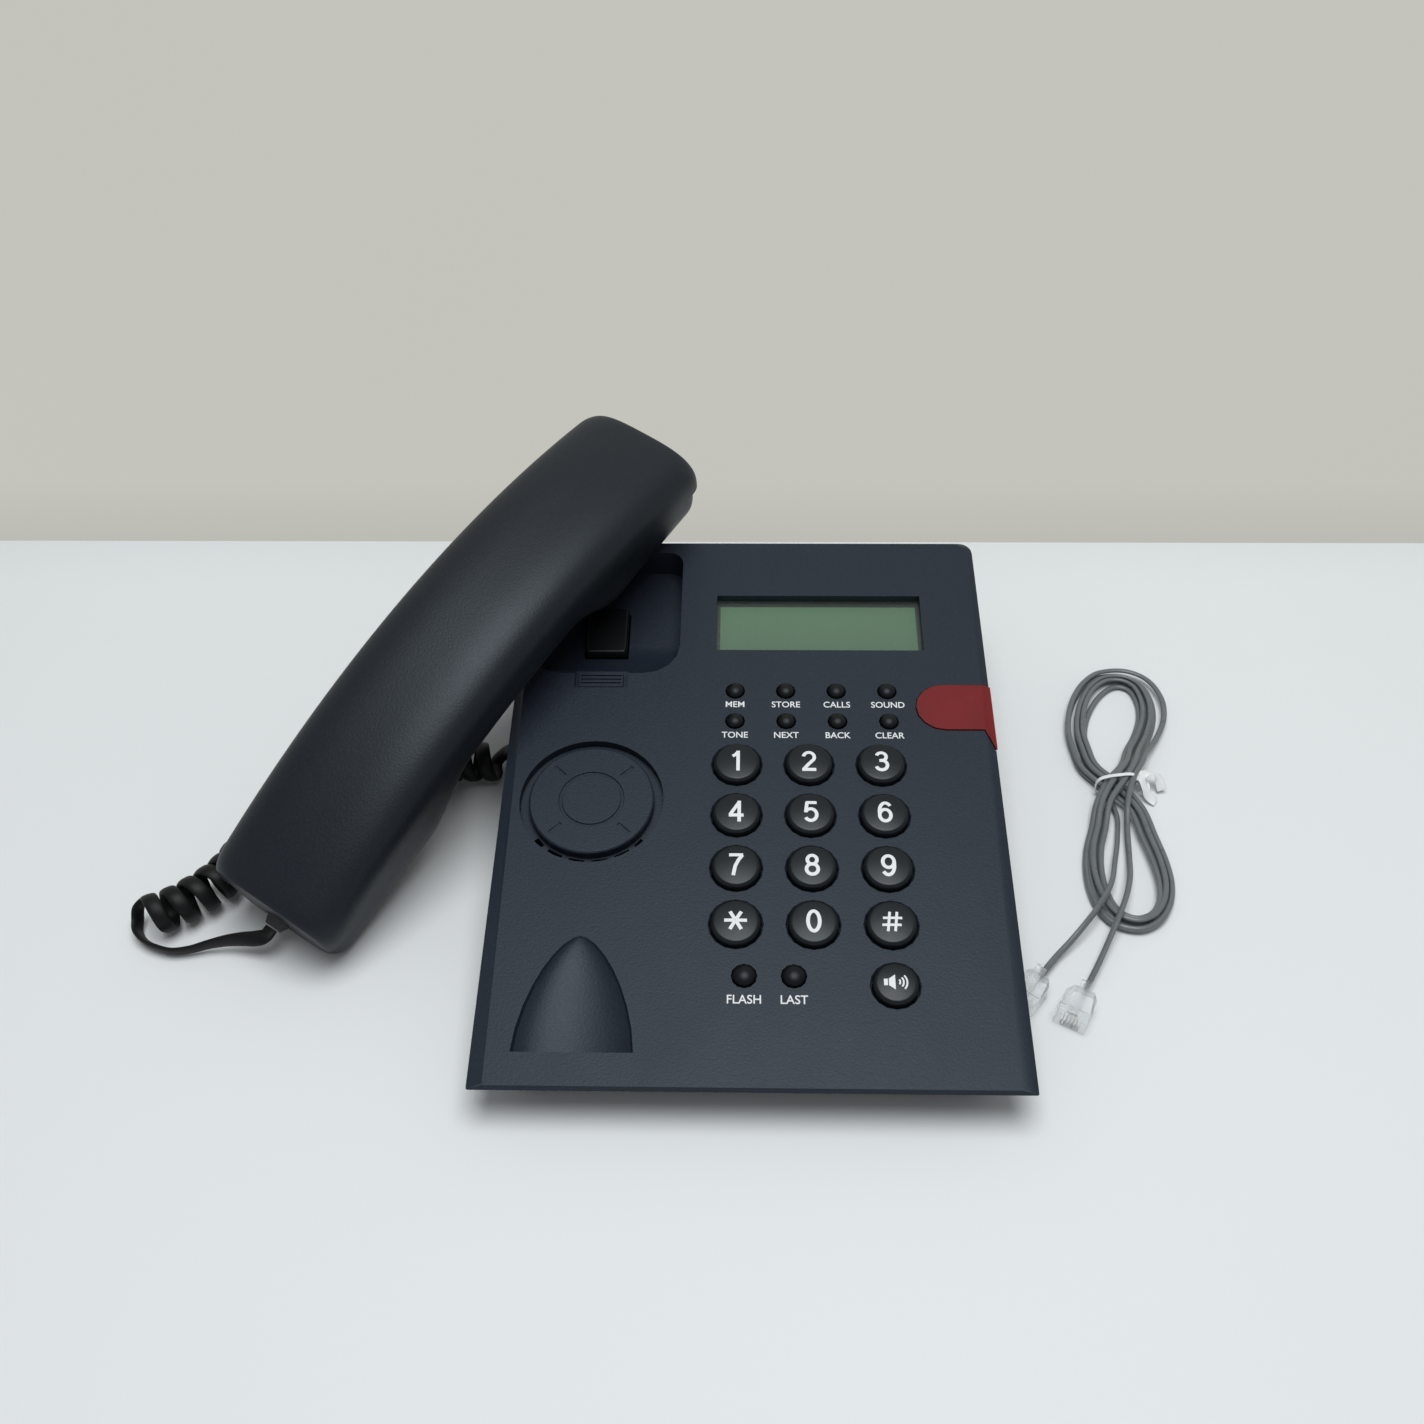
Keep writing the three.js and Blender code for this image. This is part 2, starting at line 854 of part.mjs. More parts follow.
function bottomCase() {
  const tray = toSolid(loft([
    level(caseOutline(0), caseClearance),
    level(skirtOutline(fitGap), caseTop),
  ]));
  const hollow = toSolid(loft([
    level(caseOutline(caseWall), caseClearance + caseWall),
    level(skirtOutline(fitGap + caseWall), caseTop),
    level(skirtOutline(fitGap + caseWall), caseTop + cutOverrun),
  ]));
  const rimOutside = level(skirtOutline(coverWall + fitGap), caseTop - rimRoot);
  const rimInside = level(skirtOutline(coverWall + fitGap + rimWall), caseTop - rimRoot - cutOverrun);
  const lift = (ring, height) => ring.map((point) => point.clone().setZ(height));
  const rim = cut(
    toSolid(loft([rimOutside, lift(rimOutside, caseTop + rimHeight)])),
    toSolid(loft([rimInside, lift(rimInside, caseTop + rimHeight + cutOverrun)])),
  );
  const bosses = screwPlaces.map(([, x, y]) => toSolid(
    disc(screwBossRadius, caseClearance, caseTop, smallSegments).translate(x, y, 0),
  ));
  const screwHoles = screwPlaces.flatMap(([, x, y]) => [
    toSolid(disc(screwHeadRadius + fitGap, 0, screwSeatHeight, smallSegments).translate(x, y, 0)),
    toSolid(disc(screwShankRadius + fitGap, 0, caseTop + cutOverrun, smallSegments).translate(x, y, 0)),
  ]);
  const footSeats = footPlaces.map(([, x, y]) => toSolid(
    disc(footRadius + fitGap, 0, footHeight + fitGap, smallSegments).translate(x, y, 0),
  ));
  const footPads = footPlaces.map(([, x, y]) => toSolid(
    disc(footRadius + fitGap + caseWall, caseClearance, footHeight + fitGap + caseWall, smallSegments)
      .translate(x, y, 0),
  ));
  return cut(
    join(cut(tray, hollow), rim, ...bosses, ...footPads),
    ...screwHoles,
    ...footSeats,
    keyholeCutter(-keyholeSpacing / 2),
    keyholeCutter(keyholeSpacing / 2),
    scoopPocket(coverWall + fitGap),
    leftNotch,
    rearNotch,
    handsetJackBay,
    lineJackBay,
  );
}

function foot() {
  const softening = footHeight * footSofteningShare;
  return turned([
    [0, 0],
    [footRadius - softening, 0],
    [footRadius, softening],
    [footRadius, footHeight],
    [0, footHeight],
  ], smallSegments);
}

function caseScrew() {
  const head = screwSeatHeight - fitGap;
  return turned([
    [0, head - screwHeadHeight],
    [screwHeadRadius, head - screwHeadHeight],
    [screwHeadRadius, head],
    [screwShankRadius, head],
    [screwShankRadius, head + screwShankLength],
    [0, head + screwShankLength],
  ], smallSegments);
}

// Push buttons in the panel's own frame, with the retaining flange under the panel

function flatKey(key) {
  const flangeTop = -coverWall - fitGap;
  return turned([
    [0, flangeTop - keyFlangeThickness],
    [key.radius + keyFlangeWidth, flangeTop - keyFlangeThickness],
    [key.radius + keyFlangeWidth, flangeTop],
    [key.radius, flangeTop],
    [key.radius, key.proud - keyCrown - keyShoulder],
    [key.radius - keyShoulder, key.proud - keyCrown],
    [0, key.proud],
  ], key.segments);
}

function domedKey(key) {
  const flangeTop = -coverWall - fitGap;
  const dome = [];
  for (let i = 0; i < domeSteps; i += 1) {
    const angle = (Math.PI / 2) * (i / domeSteps);
    dome.push([key.radius * Math.cos(angle), key.proud * Math.sin(angle)]);
  }
  return turned([
    [0, flangeTop - keyFlangeThickness],
    [key.radius + keyFlangeWidth, flangeTop - keyFlangeThickness],
    [key.radius + keyFlangeWidth, flangeTop],
    [key.radius, flangeTop],
    ...dome,
    [0, key.proud],
  ], key.segments);
}

// Grille cap of the loudspeaker, with a ring and four short spokes pressed into its face

function speakerCap() {
  const low = -wellDepth + fitGap;
  const cap = toSolid(turned([
    [0, low],
    [grilleRadius, low],
    [grilleRadius, grilleProud - grilleChamfer],
    [grilleRadius - grilleChamfer, grilleProud],
    [0, grilleProud],
  ], roundSegments));
  const ring = toSolid(turned([
    [grilleRingRadius - grilleGroove, grilleProud - grilleGroove],
    [grilleRingRadius + grilleGroove, grilleProud - grilleGroove],
    [grilleRingRadius + grilleGroove, grilleProud + cutOverrun],
    [grilleRingRadius - grilleGroove, grilleProud + cutOverrun],
    [grilleRingRadius - grilleGroove, grilleProud - grilleGroove],
  ], roundSegments));
  const spokes = [];
  for (let i = 0; i < grilleSpokes; i += 1) {
    const spoke = block(
      grilleSpokeInner,
      grilleSpokeOuter,
      -grilleGroove,
      grilleGroove,
      grilleProud - grilleGroove,
      grilleProud + cutOverrun,
    );
    spokes.push(toSolid(spoke.rotateZ((2 * Math.PI * (i + 0.5)) / grilleSpokes)));
  }
  return cut(cap, ring, ...spokes);
}

function loudspeaker() {
  const top = -wellDepth - coverWall - fitGap;
  return turned([
    [0, top - speakerRim - speakerConeDepth - magnetDepth],
    [magnetRadius, top - speakerRim - speakerConeDepth - magnetDepth],
    [magnetRadius, top - speakerRim - speakerConeDepth],
    [speakerRadius - speakerRim, top - speakerRim],
    [speakerRadius, top - speakerRim],
    [speakerRadius, top],
    [speakerRadius - 2 * speakerRim, top],
    [magnetRadius * coneThroatShare, top - speakerConeDepth],
    [0, top - speakerConeDepth],
  ], roundSegments / 2);
}

// Display window, display and boards, all in the panel's frame

function lcdLens() {
  const top = -coverWall - fitGap;
  return block(
    windowX - windowWidth / 2 - lensBorder,
    windowX + windowWidth / 2 + lensBorder,
    windowY - windowHeight / 2 - lensBorder,
    windowY + windowHeight / 2 + lensBorder,
    top - lensThickness,
    top,
  );
}

function lcdModule() {
  const top = -coverWall - fitGap - lensThickness - fitGap;
  const halfWidth = windowWidth / 2 + lensBorder;
  const halfHeight = windowHeight / 2 + lensBorder;
  return prism(
    roundedRectangle(
      windowX - halfWidth,
      windowX + halfWidth,
      windowY - halfHeight,
      windowY + halfHeight,
      lensBorder,
      2,
    ),
    top - displayThickness,
    top,
  );
}

function keyMat() {
  const low = boardTop + fitGap;
  const sheet = toSolid(prism(
    roundedRectangle(
      boardLeft + matInset,
      boardRight - matInset,
      boardFront + matInset,
      boardBack - matInset,
      lensBorder,
      2,
    ),
    low,
    low + matThickness,
  ));
  const holes = boardPosts.map(([x, y]) => toSolid(
    disc(boardPostRadius + fitGap, low - cutOverrun, cutOverrun, smallSegments).translate(x, y, 0),
  ));
  return cut(sheet, ...holes);
}

function mainBoard() {
  return prism(
    roundedRectangle(boardLeft, boardRight, boardFront, boardBack, lensBorder, 2),
    boardTop - boardThickness,
    boardTop,
  );
}

// Hook switch

function hookPlunger() {
  const top = -earRecessDepth + plungerProud;
  const flangeTop = recessFloorUnder - fitGap;
  const halfWidth = plungerWidth / 2;
  const halfLength = plungerLength / 2;
  const outline = (grow) => roundedRectangle(
    -halfWidth - grow,
    halfWidth + grow,
    -halfLength - grow,
    halfLength + grow,
    plungerCorner,
    2,
  );
  const body = toSolid(loft([
    level(outline(0), flangeTop - plungerFlangeThickness / 2),
    level(outline(0), top - plungerCorner),
    level(outline(-plungerCorner / 2), top),
  ]));
  const flange = toSolid(prism(outline(plungerFlangeWidth), flangeTop - plungerFlangeThickness, flangeTop));
  return join(body, flange);
}

function hookSwitch() {
  const left = cradleX + plungerWidth / 2 + plungerFlangeWidth + slideGap;
  const top = recessFloorUnder - fitGap;
  return block(
    left,
    left + hookSwitchWidth,
    plungerY - hookSwitchLength / 2,
    plungerY + hookSwitchLength / 2,
    top - hookSwitchHeight,
    top,
  );
}

function retainingTab() {
  const front = tabSlotFront + fitGap;
  const body = toSolid(block(-tabWidth / 2, tabWidth / 2, front, front + tabLength, -tabThickness, 0));
  const ribPitch = tabLength / (tabRibs + 1);
  const grooves = [];
  for (let i = 0; i < tabRibs; i += 1) {
    const middle = front + ribPitch * (i + 1);
    grooves.push(toSolid(block(
      -tabWidth / 2 + tabRibDepth,
      tabWidth / 2 - tabRibDepth,
      middle - ribPitch * tabGrooveShare,
      middle + ribPitch * tabGrooveShare,
      -tabRibDepth,
      cutOverrun,
    )));
  }
  return cut(body, ...grooves);
}

// Jacks and plugs: each is made along +X, with its mouth or its cable end at x = 0

function jack(socketWidth, socketTall, depth) {
  const body = toSolid(block(
    0,
    depth + jackWall,
    -socketWidth / 2 - jackWall,
    socketWidth / 2 + jackWall,
    -socketTall / 2 - jackWall,
    socketTall / 2 + jackWall,
  ));
  const socket = toSolid(block(
    -cutOverrun,
    depth,
    -socketWidth / 2,
    socketWidth / 2,
    -socketTall / 2,
    socketTall / 2,
  ));
  return cut(body, socket);
}

function plug(width, height, length) {
  const wall = height * plugWallShare;
  const latch = new THREE.Shape([
    new THREE.Vector2(0, -height / 2),
    new THREE.Vector2(length, -height / 2),
    new THREE.Vector2(length, height / 2 - wall),
    new THREE.Vector2(length - wall, height / 2),
    new THREE.Vector2(length - 3 * wall, height / 2),
    new THREE.Vector2(length - 3 * wall, height / 2 - wall),
    new THREE.Vector2(wall, height / 2 - wall),
    new THREE.Vector2(0, height / 2 - 2 * wall),
  ]);
  const geometry = new THREE.ExtrudeGeometry(latch, { depth: width, bevelEnabled: false });
  geometry.translate(0, 0, -width / 2);
  return geometry.rotateX(Math.PI / 2);
}

// A latch arm that stands free over the body of a plug lying on the table
function latchedPlug(width, height, length) {
  const body = toSolid(plug(width, height, length));
  const armWidth = width * latchWidthShare;
  const armThickness = height * latchThicknessShare;
  const arm = new THREE.Shape([
    new THREE.Vector2(length - 2 * armThickness, height / 2 - armThickness),
    new THREE.Vector2(length - armThickness, height / 2 - armThickness),
    new THREE.Vector2(length - armThickness, height / 2),
    new THREE.Vector2(0, height / 2 + 2 * armThickness),
    new THREE.Vector2(0, height / 2 + armThickness),
  ]);
  const geometry = new THREE.ExtrudeGeometry(arm, { depth: armWidth, bevelEnabled: false });
  geometry.translate(0, 0, -armWidth / 2);
  return join(body, toSolid(geometry.rotateX(Math.PI / 2)));
}

// Handset: x runs from its mouth end to its ear end, z out of its back

function archRise(x) {
  return handsetArch * (1 - (2 * x / handsetLength - 1) ** 2);
}

function innerHeight(x) {
  const edge = Math.min(x, handsetLength - x);
  const blend = THREE.MathUtils.smoothstep(edge, cupLength, cupLength + cupBlend);
  return blend * (handsetEndHeight + archRise(x) - gripThickness);
}

function endTuck(x, tuckShare) {
  const edge = Math.min(x, handsetLength - x);
  if (edge >= handsetEndRound) return 1;
  const fall = 1 - edge / handsetEndRound;
  return 1 - tuckShare * (1 - Math.sqrt(1 - fall * fall));
}

function halfSection(halfWidth, height, power, steps) {
  const points = [];
  for (let i = 0; i <= steps; i += 1) {
    const angle = (Math.PI * i) / steps;
    const across = Math.sign(Math.cos(angle)) * Math.abs(Math.cos(angle)) ** (2 / power);
    const up = Math.abs(Math.sin(angle)) ** (2 / power);
    points.push(new THREE.Vector2(halfWidth * across, height * up));
  }
  return points;
}

const soundHoleSegments = 6;
const handsetStations = 16;
const sectionSteps = 12;
const insideSteps = 8;

function stations(from, to, count) {
  const places = [];
  for (let i = 0; i <= count; i += 1) {
    const turn = (1 - Math.cos((Math.PI * i) / count)) / 2;
    places.push(from + (to - from) * turn);
  }
  return places;
}

const lengthwise = new THREE.Matrix4().makeBasis(
  new THREE.Vector3(0, 1, 0),
  new THREE.Vector3(0, 0, 1),
  new THREE.Vector3(1, 0, 0),
);

function backRing(x, inset, steps) {
  const tuck = endTuck(x, handsetEndTuckShare);
  const half = (handsetWidth / 2 - inset) * tuck;
  const height = (handsetEndHeight - partingHeight - inset) * tuck;
  const base = partingHeight + archRise(x) + fitGap;
  return halfSection(half, height, backSectionPower, steps)
    .map((point) => new THREE.Vector3(point.x, base + point.y, x));
}

function frontRing(x, inset, steps) {
  const tuck = endTuck(x, 2 * handsetEndTuckShare);
  const half = (handsetWidth / 2 - frontShellInset - inset) * tuck;
  const base = partingHeight + archRise(x);
  const depth = (base - innerHeight(x) - inset) * tuck;
  return halfSection(half, depth, frontSectionPower, steps)
    .map((point) => new THREE.Vector3(-point.x, base - point.y, x));
}

// A shell's hollow runs past its open side, so that nothing closes it there
function opened(ring, way) {
  const lift = (point) => point.clone().add(new THREE.Vector3(0, way * handsetWall, 0));
  return [lift(ring[0]), ...ring, lift(ring.at(-1))];
}

function handsetForm(ringAt) {
  return toSolid(loft(stations(0, handsetLength, handsetStations)
    .map((x) => ringAt(x, 0, sectionSteps))).applyMatrix4(lengthwise));
}

function handsetHollow(ringAt, way) {
  return toSolid(loft(stations(handsetWall, handsetLength - handsetWall, handsetStations)
    .map((x) => opened(ringAt(x, handsetWall, insideSteps), way))).applyMatrix4(lengthwise));
}

function soundHoles(x, count) {
  const cutters = [];
  for (let i = 0; i < count; i += 1) {
    const angle = (2 * Math.PI * i) / (count - 1);
    const reach = i === count - 1 ? 0 : soundHolePitch;
    cutters.push(toSolid(
      disc(soundHoleRadius, -cutOverrun, handsetWall + cutOverrun / 2, soundHoleSegments)
        .translate(x + reach * Math.cos(angle), reach * Math.sin(angle), 0),
    ));
  }
  return cutters;
}

const handsetSocketDepth = handsetPlugLength - handsetPlugProud + fitGap;

function socketOpening() {
  return toSolid(block(
    -cutOverrun,
    handsetWall + fitGap,
    -handsetSocketWidth / 2,
    handsetSocketWidth / 2,
    handsetSocketHeight - handsetSocketTall / 2,
    handsetSocketHeight + handsetSocketTall / 2,
  ));
}

const backFace = (x) => handsetEndHeight + archRise(x) - handsetWall / 2;
const handsetScrewSeat = (x) => innerHeight(x) + 2 * handsetWall;
const handsetScrewTop = (x) => backFace(x) - handsetWall;

function handsetBack() {
  const posts = handsetScrewPlaces.map((x) => toSolid(
    disc(2 * handsetScrewRadius, partingHeight + archRise(x) + fitGap, backFace(x), smallSegments)
      .translate(x, 0, 0),
  ));
  const pilots = handsetScrewPlaces.map((x) => toSolid(
    disc(handsetScrewRadius / 2 + fitGap, 0, handsetScrewTop(x), smallSegments).translate(x, 0, 0),
  ));
  return cut(join(cut(handsetForm(backRing), handsetHollow(backRing, -1)), ...posts), ...pilots);
}

function handsetFront() {
  const wells = handsetScrewPlaces.map((x) => toSolid(
    disc(2 * handsetScrewRadius, innerHeight(x) + fitGap, partingHeight + archRise(x), smallSegments)
      .translate(x, 0, 0),
  ));
  const bores = handsetScrewPlaces.flatMap((x) => [
    disc(handsetScrewRadius + fitGap, -cutOverrun, handsetScrewSeat(x), smallSegments),
    disc(handsetScrewRadius / 2 + fitGap, 0, handsetScrewTop(x), smallSegments),
  ].map((geometry) => toSolid(geometry.translate(x, 0, 0))));
  return cut(
    join(cut(handsetForm(frontRing), handsetHollow(frontRing, 1)), ...wells),
    ...bores,
    ...soundHoles(receiverX, receiverHoles),
    ...soundHoles(microphoneX, microphoneHoles),
    socketOpening(),
  );
}

function handsetScrew(x) {
  const seat = handsetScrewSeat(x) - fitGap;
  return turned([
    [0, seat - handsetScrewRadius],
    [handsetScrewRadius, seat - handsetScrewRadius],
    [handsetScrewRadius, seat],
    [handsetScrewRadius / 2, seat],
    [handsetScrewRadius / 2, seat + handsetScrewLength],
    [0, seat + handsetScrewLength],
  ], smallSegments).translate(x, 0, 0);
}

function capsule(x, radius, depth) {
  const low = handsetWall + 3 * fitGap;
  const lip = radius * capsuleLipShare;
  return turned([
    [0, low],
    [radius - lip, low],
    [radius, low + lip],
    [radius, low + depth],
    [radius - 2 * lip, low + depth + lip],
    [0, low + depth + lip],
  ], keySegments).translate(x, 0, 0);
}

// Cords

function sectionFrames(points) {
  const frames = [];
  let normal = new THREE.Vector3(0, 0, 1);
  points.forEach((point, i) => {
    const before = points[Math.max(i - 1, 0)];
    const after = points[Math.min(i + 1, points.length - 1)];
    const tangent = after.clone().sub(before).normalize();
    normal = normal.clone().addScaledVector(tangent, -normal.dot(tangent)).normalize();
    frames.push({ point, tangent, normal, binormal: tangent.clone().cross(normal) });
  });
  return frames;
}

function tube(points, radius, sides) {
  const rings = sectionFrames(points).map(({ point, normal, binormal }) => {
    const ring = [];
    for (let k = 0; k < sides; k += 1) {
      const angle = (2 * Math.PI * k) / sides;
      ring.push(point.clone()
        .addScaledVector(normal, radius * Math.cos(angle))
        .addScaledVector(binormal, radius * Math.sin(angle)));
    }
    return ring;
  });
  const positions = rings.flat().flatMap((point) => [point.x, point.y, point.z]);
  const index = [];
  for (let i = 0; i < rings.length - 1; i += 1) {
    for (let k = 0; k < sides; k += 1) {
      const a = i * sides + k;
      const b = i * sides + ((k + 1) % sides);
      index.push(a, b, b + sides, a, b + sides, a + sides);
    }
  }
  const last = (rings.length - 1) * sides;
  for (let k = 1; k < sides - 1; k += 1) {
    index.push(0, k + 1, k);
    index.push(last, last + k, last + k + 1);
  }
  const geometry = new THREE.BufferGeometry();
  geometry.setAttribute('position', new THREE.Float32BufferAttribute(positions, 3));
  geometry.setIndex(index);
  return geometry;
}

// Least distance between the skins of two stretches of a tube that are not neighbours
function leastGap(points, radius) {
  let least = Infinity;
  const reach = 4 * radius;
  const lengths = [0];
  points.slice(1).forEach((point, i) => lengths.push(lengths[i] + point.distanceTo(points[i])));
  const segment = new THREE.Line3();
  const nearest = new THREE.Vector3();
  for (let i = 0; i < points.length; i += 1) {
    for (let j = i + 1; j < points.length - 1; j += 1) {
      if (lengths[j] - lengths[i] < reach) continue;
      segment.set(points[j], points[j + 1]);
      segment.closestPointToPoint(points[i], true, nearest);
      least = Math.min(least, nearest.distanceTo(points[i]) - 2 * radius);
    }
  }
  return least;
}

function cordLength(points) {
  return points.slice(1).reduce((sum, point, i) => sum + point.distanceTo(points[i]), 0);
}

function report(name, points, radius) {
  const length = cordLength(points).toFixed(0);
  const gap = leastGap(points, radius).toFixed(2);
  console.log(`${name}: ${length} mm, least gap ${gap} mm`);
}

const vectors = (list) => list.map(([x, y, z]) => new THREE.Vector3(x, y, z));

// Route of the curly cord's lead from the handset, its coil's axis, and its lead into the base
const handsetLeadRoute = vectors([
  [-147.6, -45.6, 9.2],
  [-151.6, -48.0, 7.8],
  [-157.2, -48.6, 6.2],
  [-164.6, -48.0, 4.4],
  [-173.0, -46.8, 2.7],
  [-181.2, -46.4, 2.0],
  [-187.4, -43.4, 1.9],
]);
const coilAxisRoute = vectors([
  [-190.5, -36.6, 7.3],
  [-178.0, -30.6, 7.3],
  [-168.0, -20.0, 7.3],
  [-161.4, -5.0, 7.3],
  [-152.0, 10.0, 7.3],
  [-137.0, 22.4, 7.3],
  [-113.0, 31.0, 7.3],
  [-88.0, 33.0, 7.3],
]);
const baseLeadRoute = vectors([
  [-88.6, 37.4, 2.6],
  [-85.6, 39.6, 5.2],
  [-82.4, 38.8, 8.2],
]);

function coilPoints() {
  const axis = new THREE.CatmullRomCurve3(coilAxisRoute);
  const points = [];
  const total = curlCount * curlSteps;
  const up = new THREE.Vector3(0, 0, 1);
  for (let i = 0; i <= total; i += 1) {
    const share = i / total;
    const centre = axis.getPointAt(share);
    const along = axis.getTangentAt(share);
    const side = up.clone().cross(along).normalize();
    const turn = -Math.PI / 2 + (2 * Math.PI * i) / curlSteps;
    points.push(centre
      .addScaledVector(side, curlRadius * Math.cos(turn))
      .addScaledVector(up, curlRadius * Math.sin(turn)));
  }
  return points;
}

function curlyCordPoints(handsetExit, handsetWay, baseExit) {
  const start = [handsetExit, handsetExit.clone().addScaledVector(handsetWay, 2 * curlWireRadius)];
  const stop = [baseExit.clone().add(new THREE.Vector3(-2 * curlWireRadius, 0, 0)), baseExit];
  return [...start, ...handsetLeadRoute, ...coilPoints(), ...baseLeadRoute, ...stop];
}

// Hank of the line cord: a loop with a drawn-in waist, as points round its middle strand
const hankMiddle = vectors([
  [118.4, 27.5, 0],
  [116.6, 40.0, 0],
  [115.4, 52.5, 0],
  [118.2, 66.0, 0],
  [124.6, 78.0, 0],
  [133.4, 83.2, 0],
  [140.4, 79.0, 0],
  [141.8, 66.4, 0],
  [136.4, 50.8, 0],
  [129.8, 38.5, 0],
  [128.6, 27.5, 0],
  [129.4, 14.0, 0],
  [132.0, -4.0, 0],
  [131.0, -18.6, 0],
  [125.4, -28.2, 0],
  [117.2, -30.6, 0],
  [111.4, -24.6, 0],
  [109.8, -12.0, 0],
  [112.2, 2.0, 0],
  [117.0, 15.0, 0],
]);
const lineEndA = vectors([
  [86.6, -51.6, 3.3],
  [89.6, -47.8, 3.3],
  [93.0, -43.8, 3.6],
  [97.4, -39.4, 5.6],
  [102.8, -33.6, 8.4],
  [108.6, -26.0, 9.0],
  [113.8, -16.8, 7.6],
  [117.4, -5.6, 3.4],
  [120.0, 6.0, 2.0],
  [122.0, 17.6, 2.2],
]);
const lineEndB = vectors([
  [124.4, 18.0, 4.9],
  [123.8, 8.0, 3.6],
  [122.4, -4.0, 3.4],
  [120.2, -14.0, 6.4],
  [117.0, -23.2, 8.8],
  [113.2, -31.2, 9.2],
  [109.0, -39.2, 7.0],
  [104.8, -46.8, 4.2],
  [101.2, -53.0, 3.3],
  [99.0, -56.8, 3.3],
]);

function hankPoints() {
  const ring = new THREE.CatmullRomCurve3(hankMiddle, true);
  const turns = 2 * hankLoopsPerLayer - hankOverlapShare;
  const total = Math.round(turns * hankSteps);
  const innermost = hankPitch * (hankStartShare - hankLoopsPerLayer / 2);
  const climbStart = (turns - hankClimbShare) / 2;
  const points = [];
  for (let i = 0; i <= total; i += 1) {
    const turn = i / hankSteps;
    const share = turn % 1;
    const climb = THREE.MathUtils.smoothstep(turn, climbStart, climbStart + hankClimbShare);
    const offset = innermost + hankPitch * Math.min(turn, turns - turn);
    const centre = ring.getPoint(share);
    const along = ring.getTangent(share);
    centre.addScaledVector(new THREE.Vector3(-along.y, along.x, 0), offset);
    const waist = Math.cos(2 * Math.PI * share) ** 2;
    centre.z = lineRadius + fitGap + tieLift * waist + hankLayerRise * climb;
    points.push(centre);
  }
  return points;
}

function smoothRoute(points, spacing) {
  const curve = new THREE.CatmullRomCurve3(points, false, 'centripetal');
  return curve.getSpacedPoints(Math.ceil(curve.getLength() / spacing));
}

// Assembly

const phone = new THREE.Group();
const panel = new THREE.Group();
panel.position.set(0, panelFront, lipHeight);
panel.rotation.x = slope;
phone.add(panel);

phone.add(piece('top_cover', topCover(), 'charcoal'));
phone.add(piece('bottom_case', bottomCase(), 'charcoal'));
phone.add(piece('lamp_lens', lampLens(), 'lamp'));

footPlaces.forEach(([place, x, y]) => {
  const mesh = piece(`foot_${place}`, foot(), 'rubber');
  mesh.position.set(x, y, 0);
  phone.add(mesh);
});

screwPlaces.forEach(([place, x, y]) => {
  const mesh = piece(`case_screw_${place}`, caseScrew(), 'steel');
  mesh.position.set(x, y, 0);
  phone.add(mesh);
});

flatKeys.forEach((key) => {
  const mesh = piece(key.name, flatKey(key), 'black');
  mesh.position.set(key.x, key.y, 0);
  panel.add(mesh);
});

domedKeys.forEach((key) => {
  const mesh = piece(key.name, domedKey(key), 'black');
  mesh.position.set(key.x, key.y, 0);
  panel.add(mesh);
});

const cap = piece('speaker_cap', speakerCap(), 'charcoal');
cap.position.set(cradleX, wellY, 0);
const driver = piece('speaker', loudspeaker(), 'steel');
driver.position.set(cradleX, wellY, 0);
const plunger = piece('hook_plunger', hookPlunger(), 'black');
plunger.position.set(cradleX, plungerY, 0);
const tab = piece('retaining_tab', retainingTab(), 'charcoal');
tab.position.set(cradleX, 0, 0);
panel.add(
  cap,
  driver,
  plunger,
  tab,
  piece('hook_switch', hookSwitch(), 'black'),
  piece('lcd_lens', lcdLens(), 'glass'),
  piece('lcd_module', lcdModule(), 'grey'),
  piece('key_mat', keyMat(), 'rubber'),
  piece('main_board', mainBoard(), 'board'),
);

const handsetJackForm = jack(handsetSocketWidth, handsetSocketTall, handsetJackDepth);
const handsetJack = piece('handset_jack', handsetJackForm, 'black');
handsetJack.position.set(handsetJackFace, handsetJackY, jackHeight);
const lineJack = piece('line_jack', jack(lineSocketWidth, lineSocketTall, lineJackDepth), 'black');
lineJack.position.set(lineJackX, lineJackFace, jackHeight);
lineJack.rotation.z = -Math.PI / 2;
const smallPlugForm = () => plug(handsetPlugWidth, handsetPlugHeight, handsetPlugLength);
const basePlug = piece('base_plug', smallPlugForm(), 'clear');
basePlug.position.set(-skirtHalf - handsetPlugProud, handsetJackY, jackHeight);
phone.add(handsetJack, lineJack, basePlug);

const handset = new THREE.Group();
handset.position.set(handsetPlaceX, handsetPlaceY, handsetPlaceZ);
handset.rotation.set(
  THREE.MathUtils.degToRad(handsetRollDegrees),
  -THREE.MathUtils.degToRad(handsetRiseDegrees),
  THREE.MathUtils.degToRad(handsetTurnDegrees),
  'ZYX',
);
phone.add(handset);
const handsetSocketForm = jack(handsetSocketWidth, handsetSocketTall, handsetSocketDepth);
const handsetSocket = piece('handset_socket', handsetSocketForm, 'black');
handsetSocket.position.set(handsetWall + fitGap, 0, handsetSocketHeight);
const handsetPlug = piece('handset_plug', smallPlugForm(), 'clear');
handsetPlug.position.set(-handsetPlugProud, 0, handsetSocketHeight);
handset.add(
  piece('handset_back', handsetBack(), 'charcoal'),
  piece('handset_front', handsetFront(), 'charcoal'),
  piece('receiver', capsule(receiverX, receiverRadius, receiverDepth), 'black'),
  piece('microphone', capsule(microphoneX, microphoneRadius, microphoneDepth), 'steel'),
  piece('handset_screw_mouth', handsetScrew(handsetScrewPlaces[0]), 'steel'),
  piece('handset_screw_ear', handsetScrew(handsetScrewPlaces[1]), 'steel'),
  handsetSocket,
  handsetPlug,
);
handset.updateMatrixWorld(true);

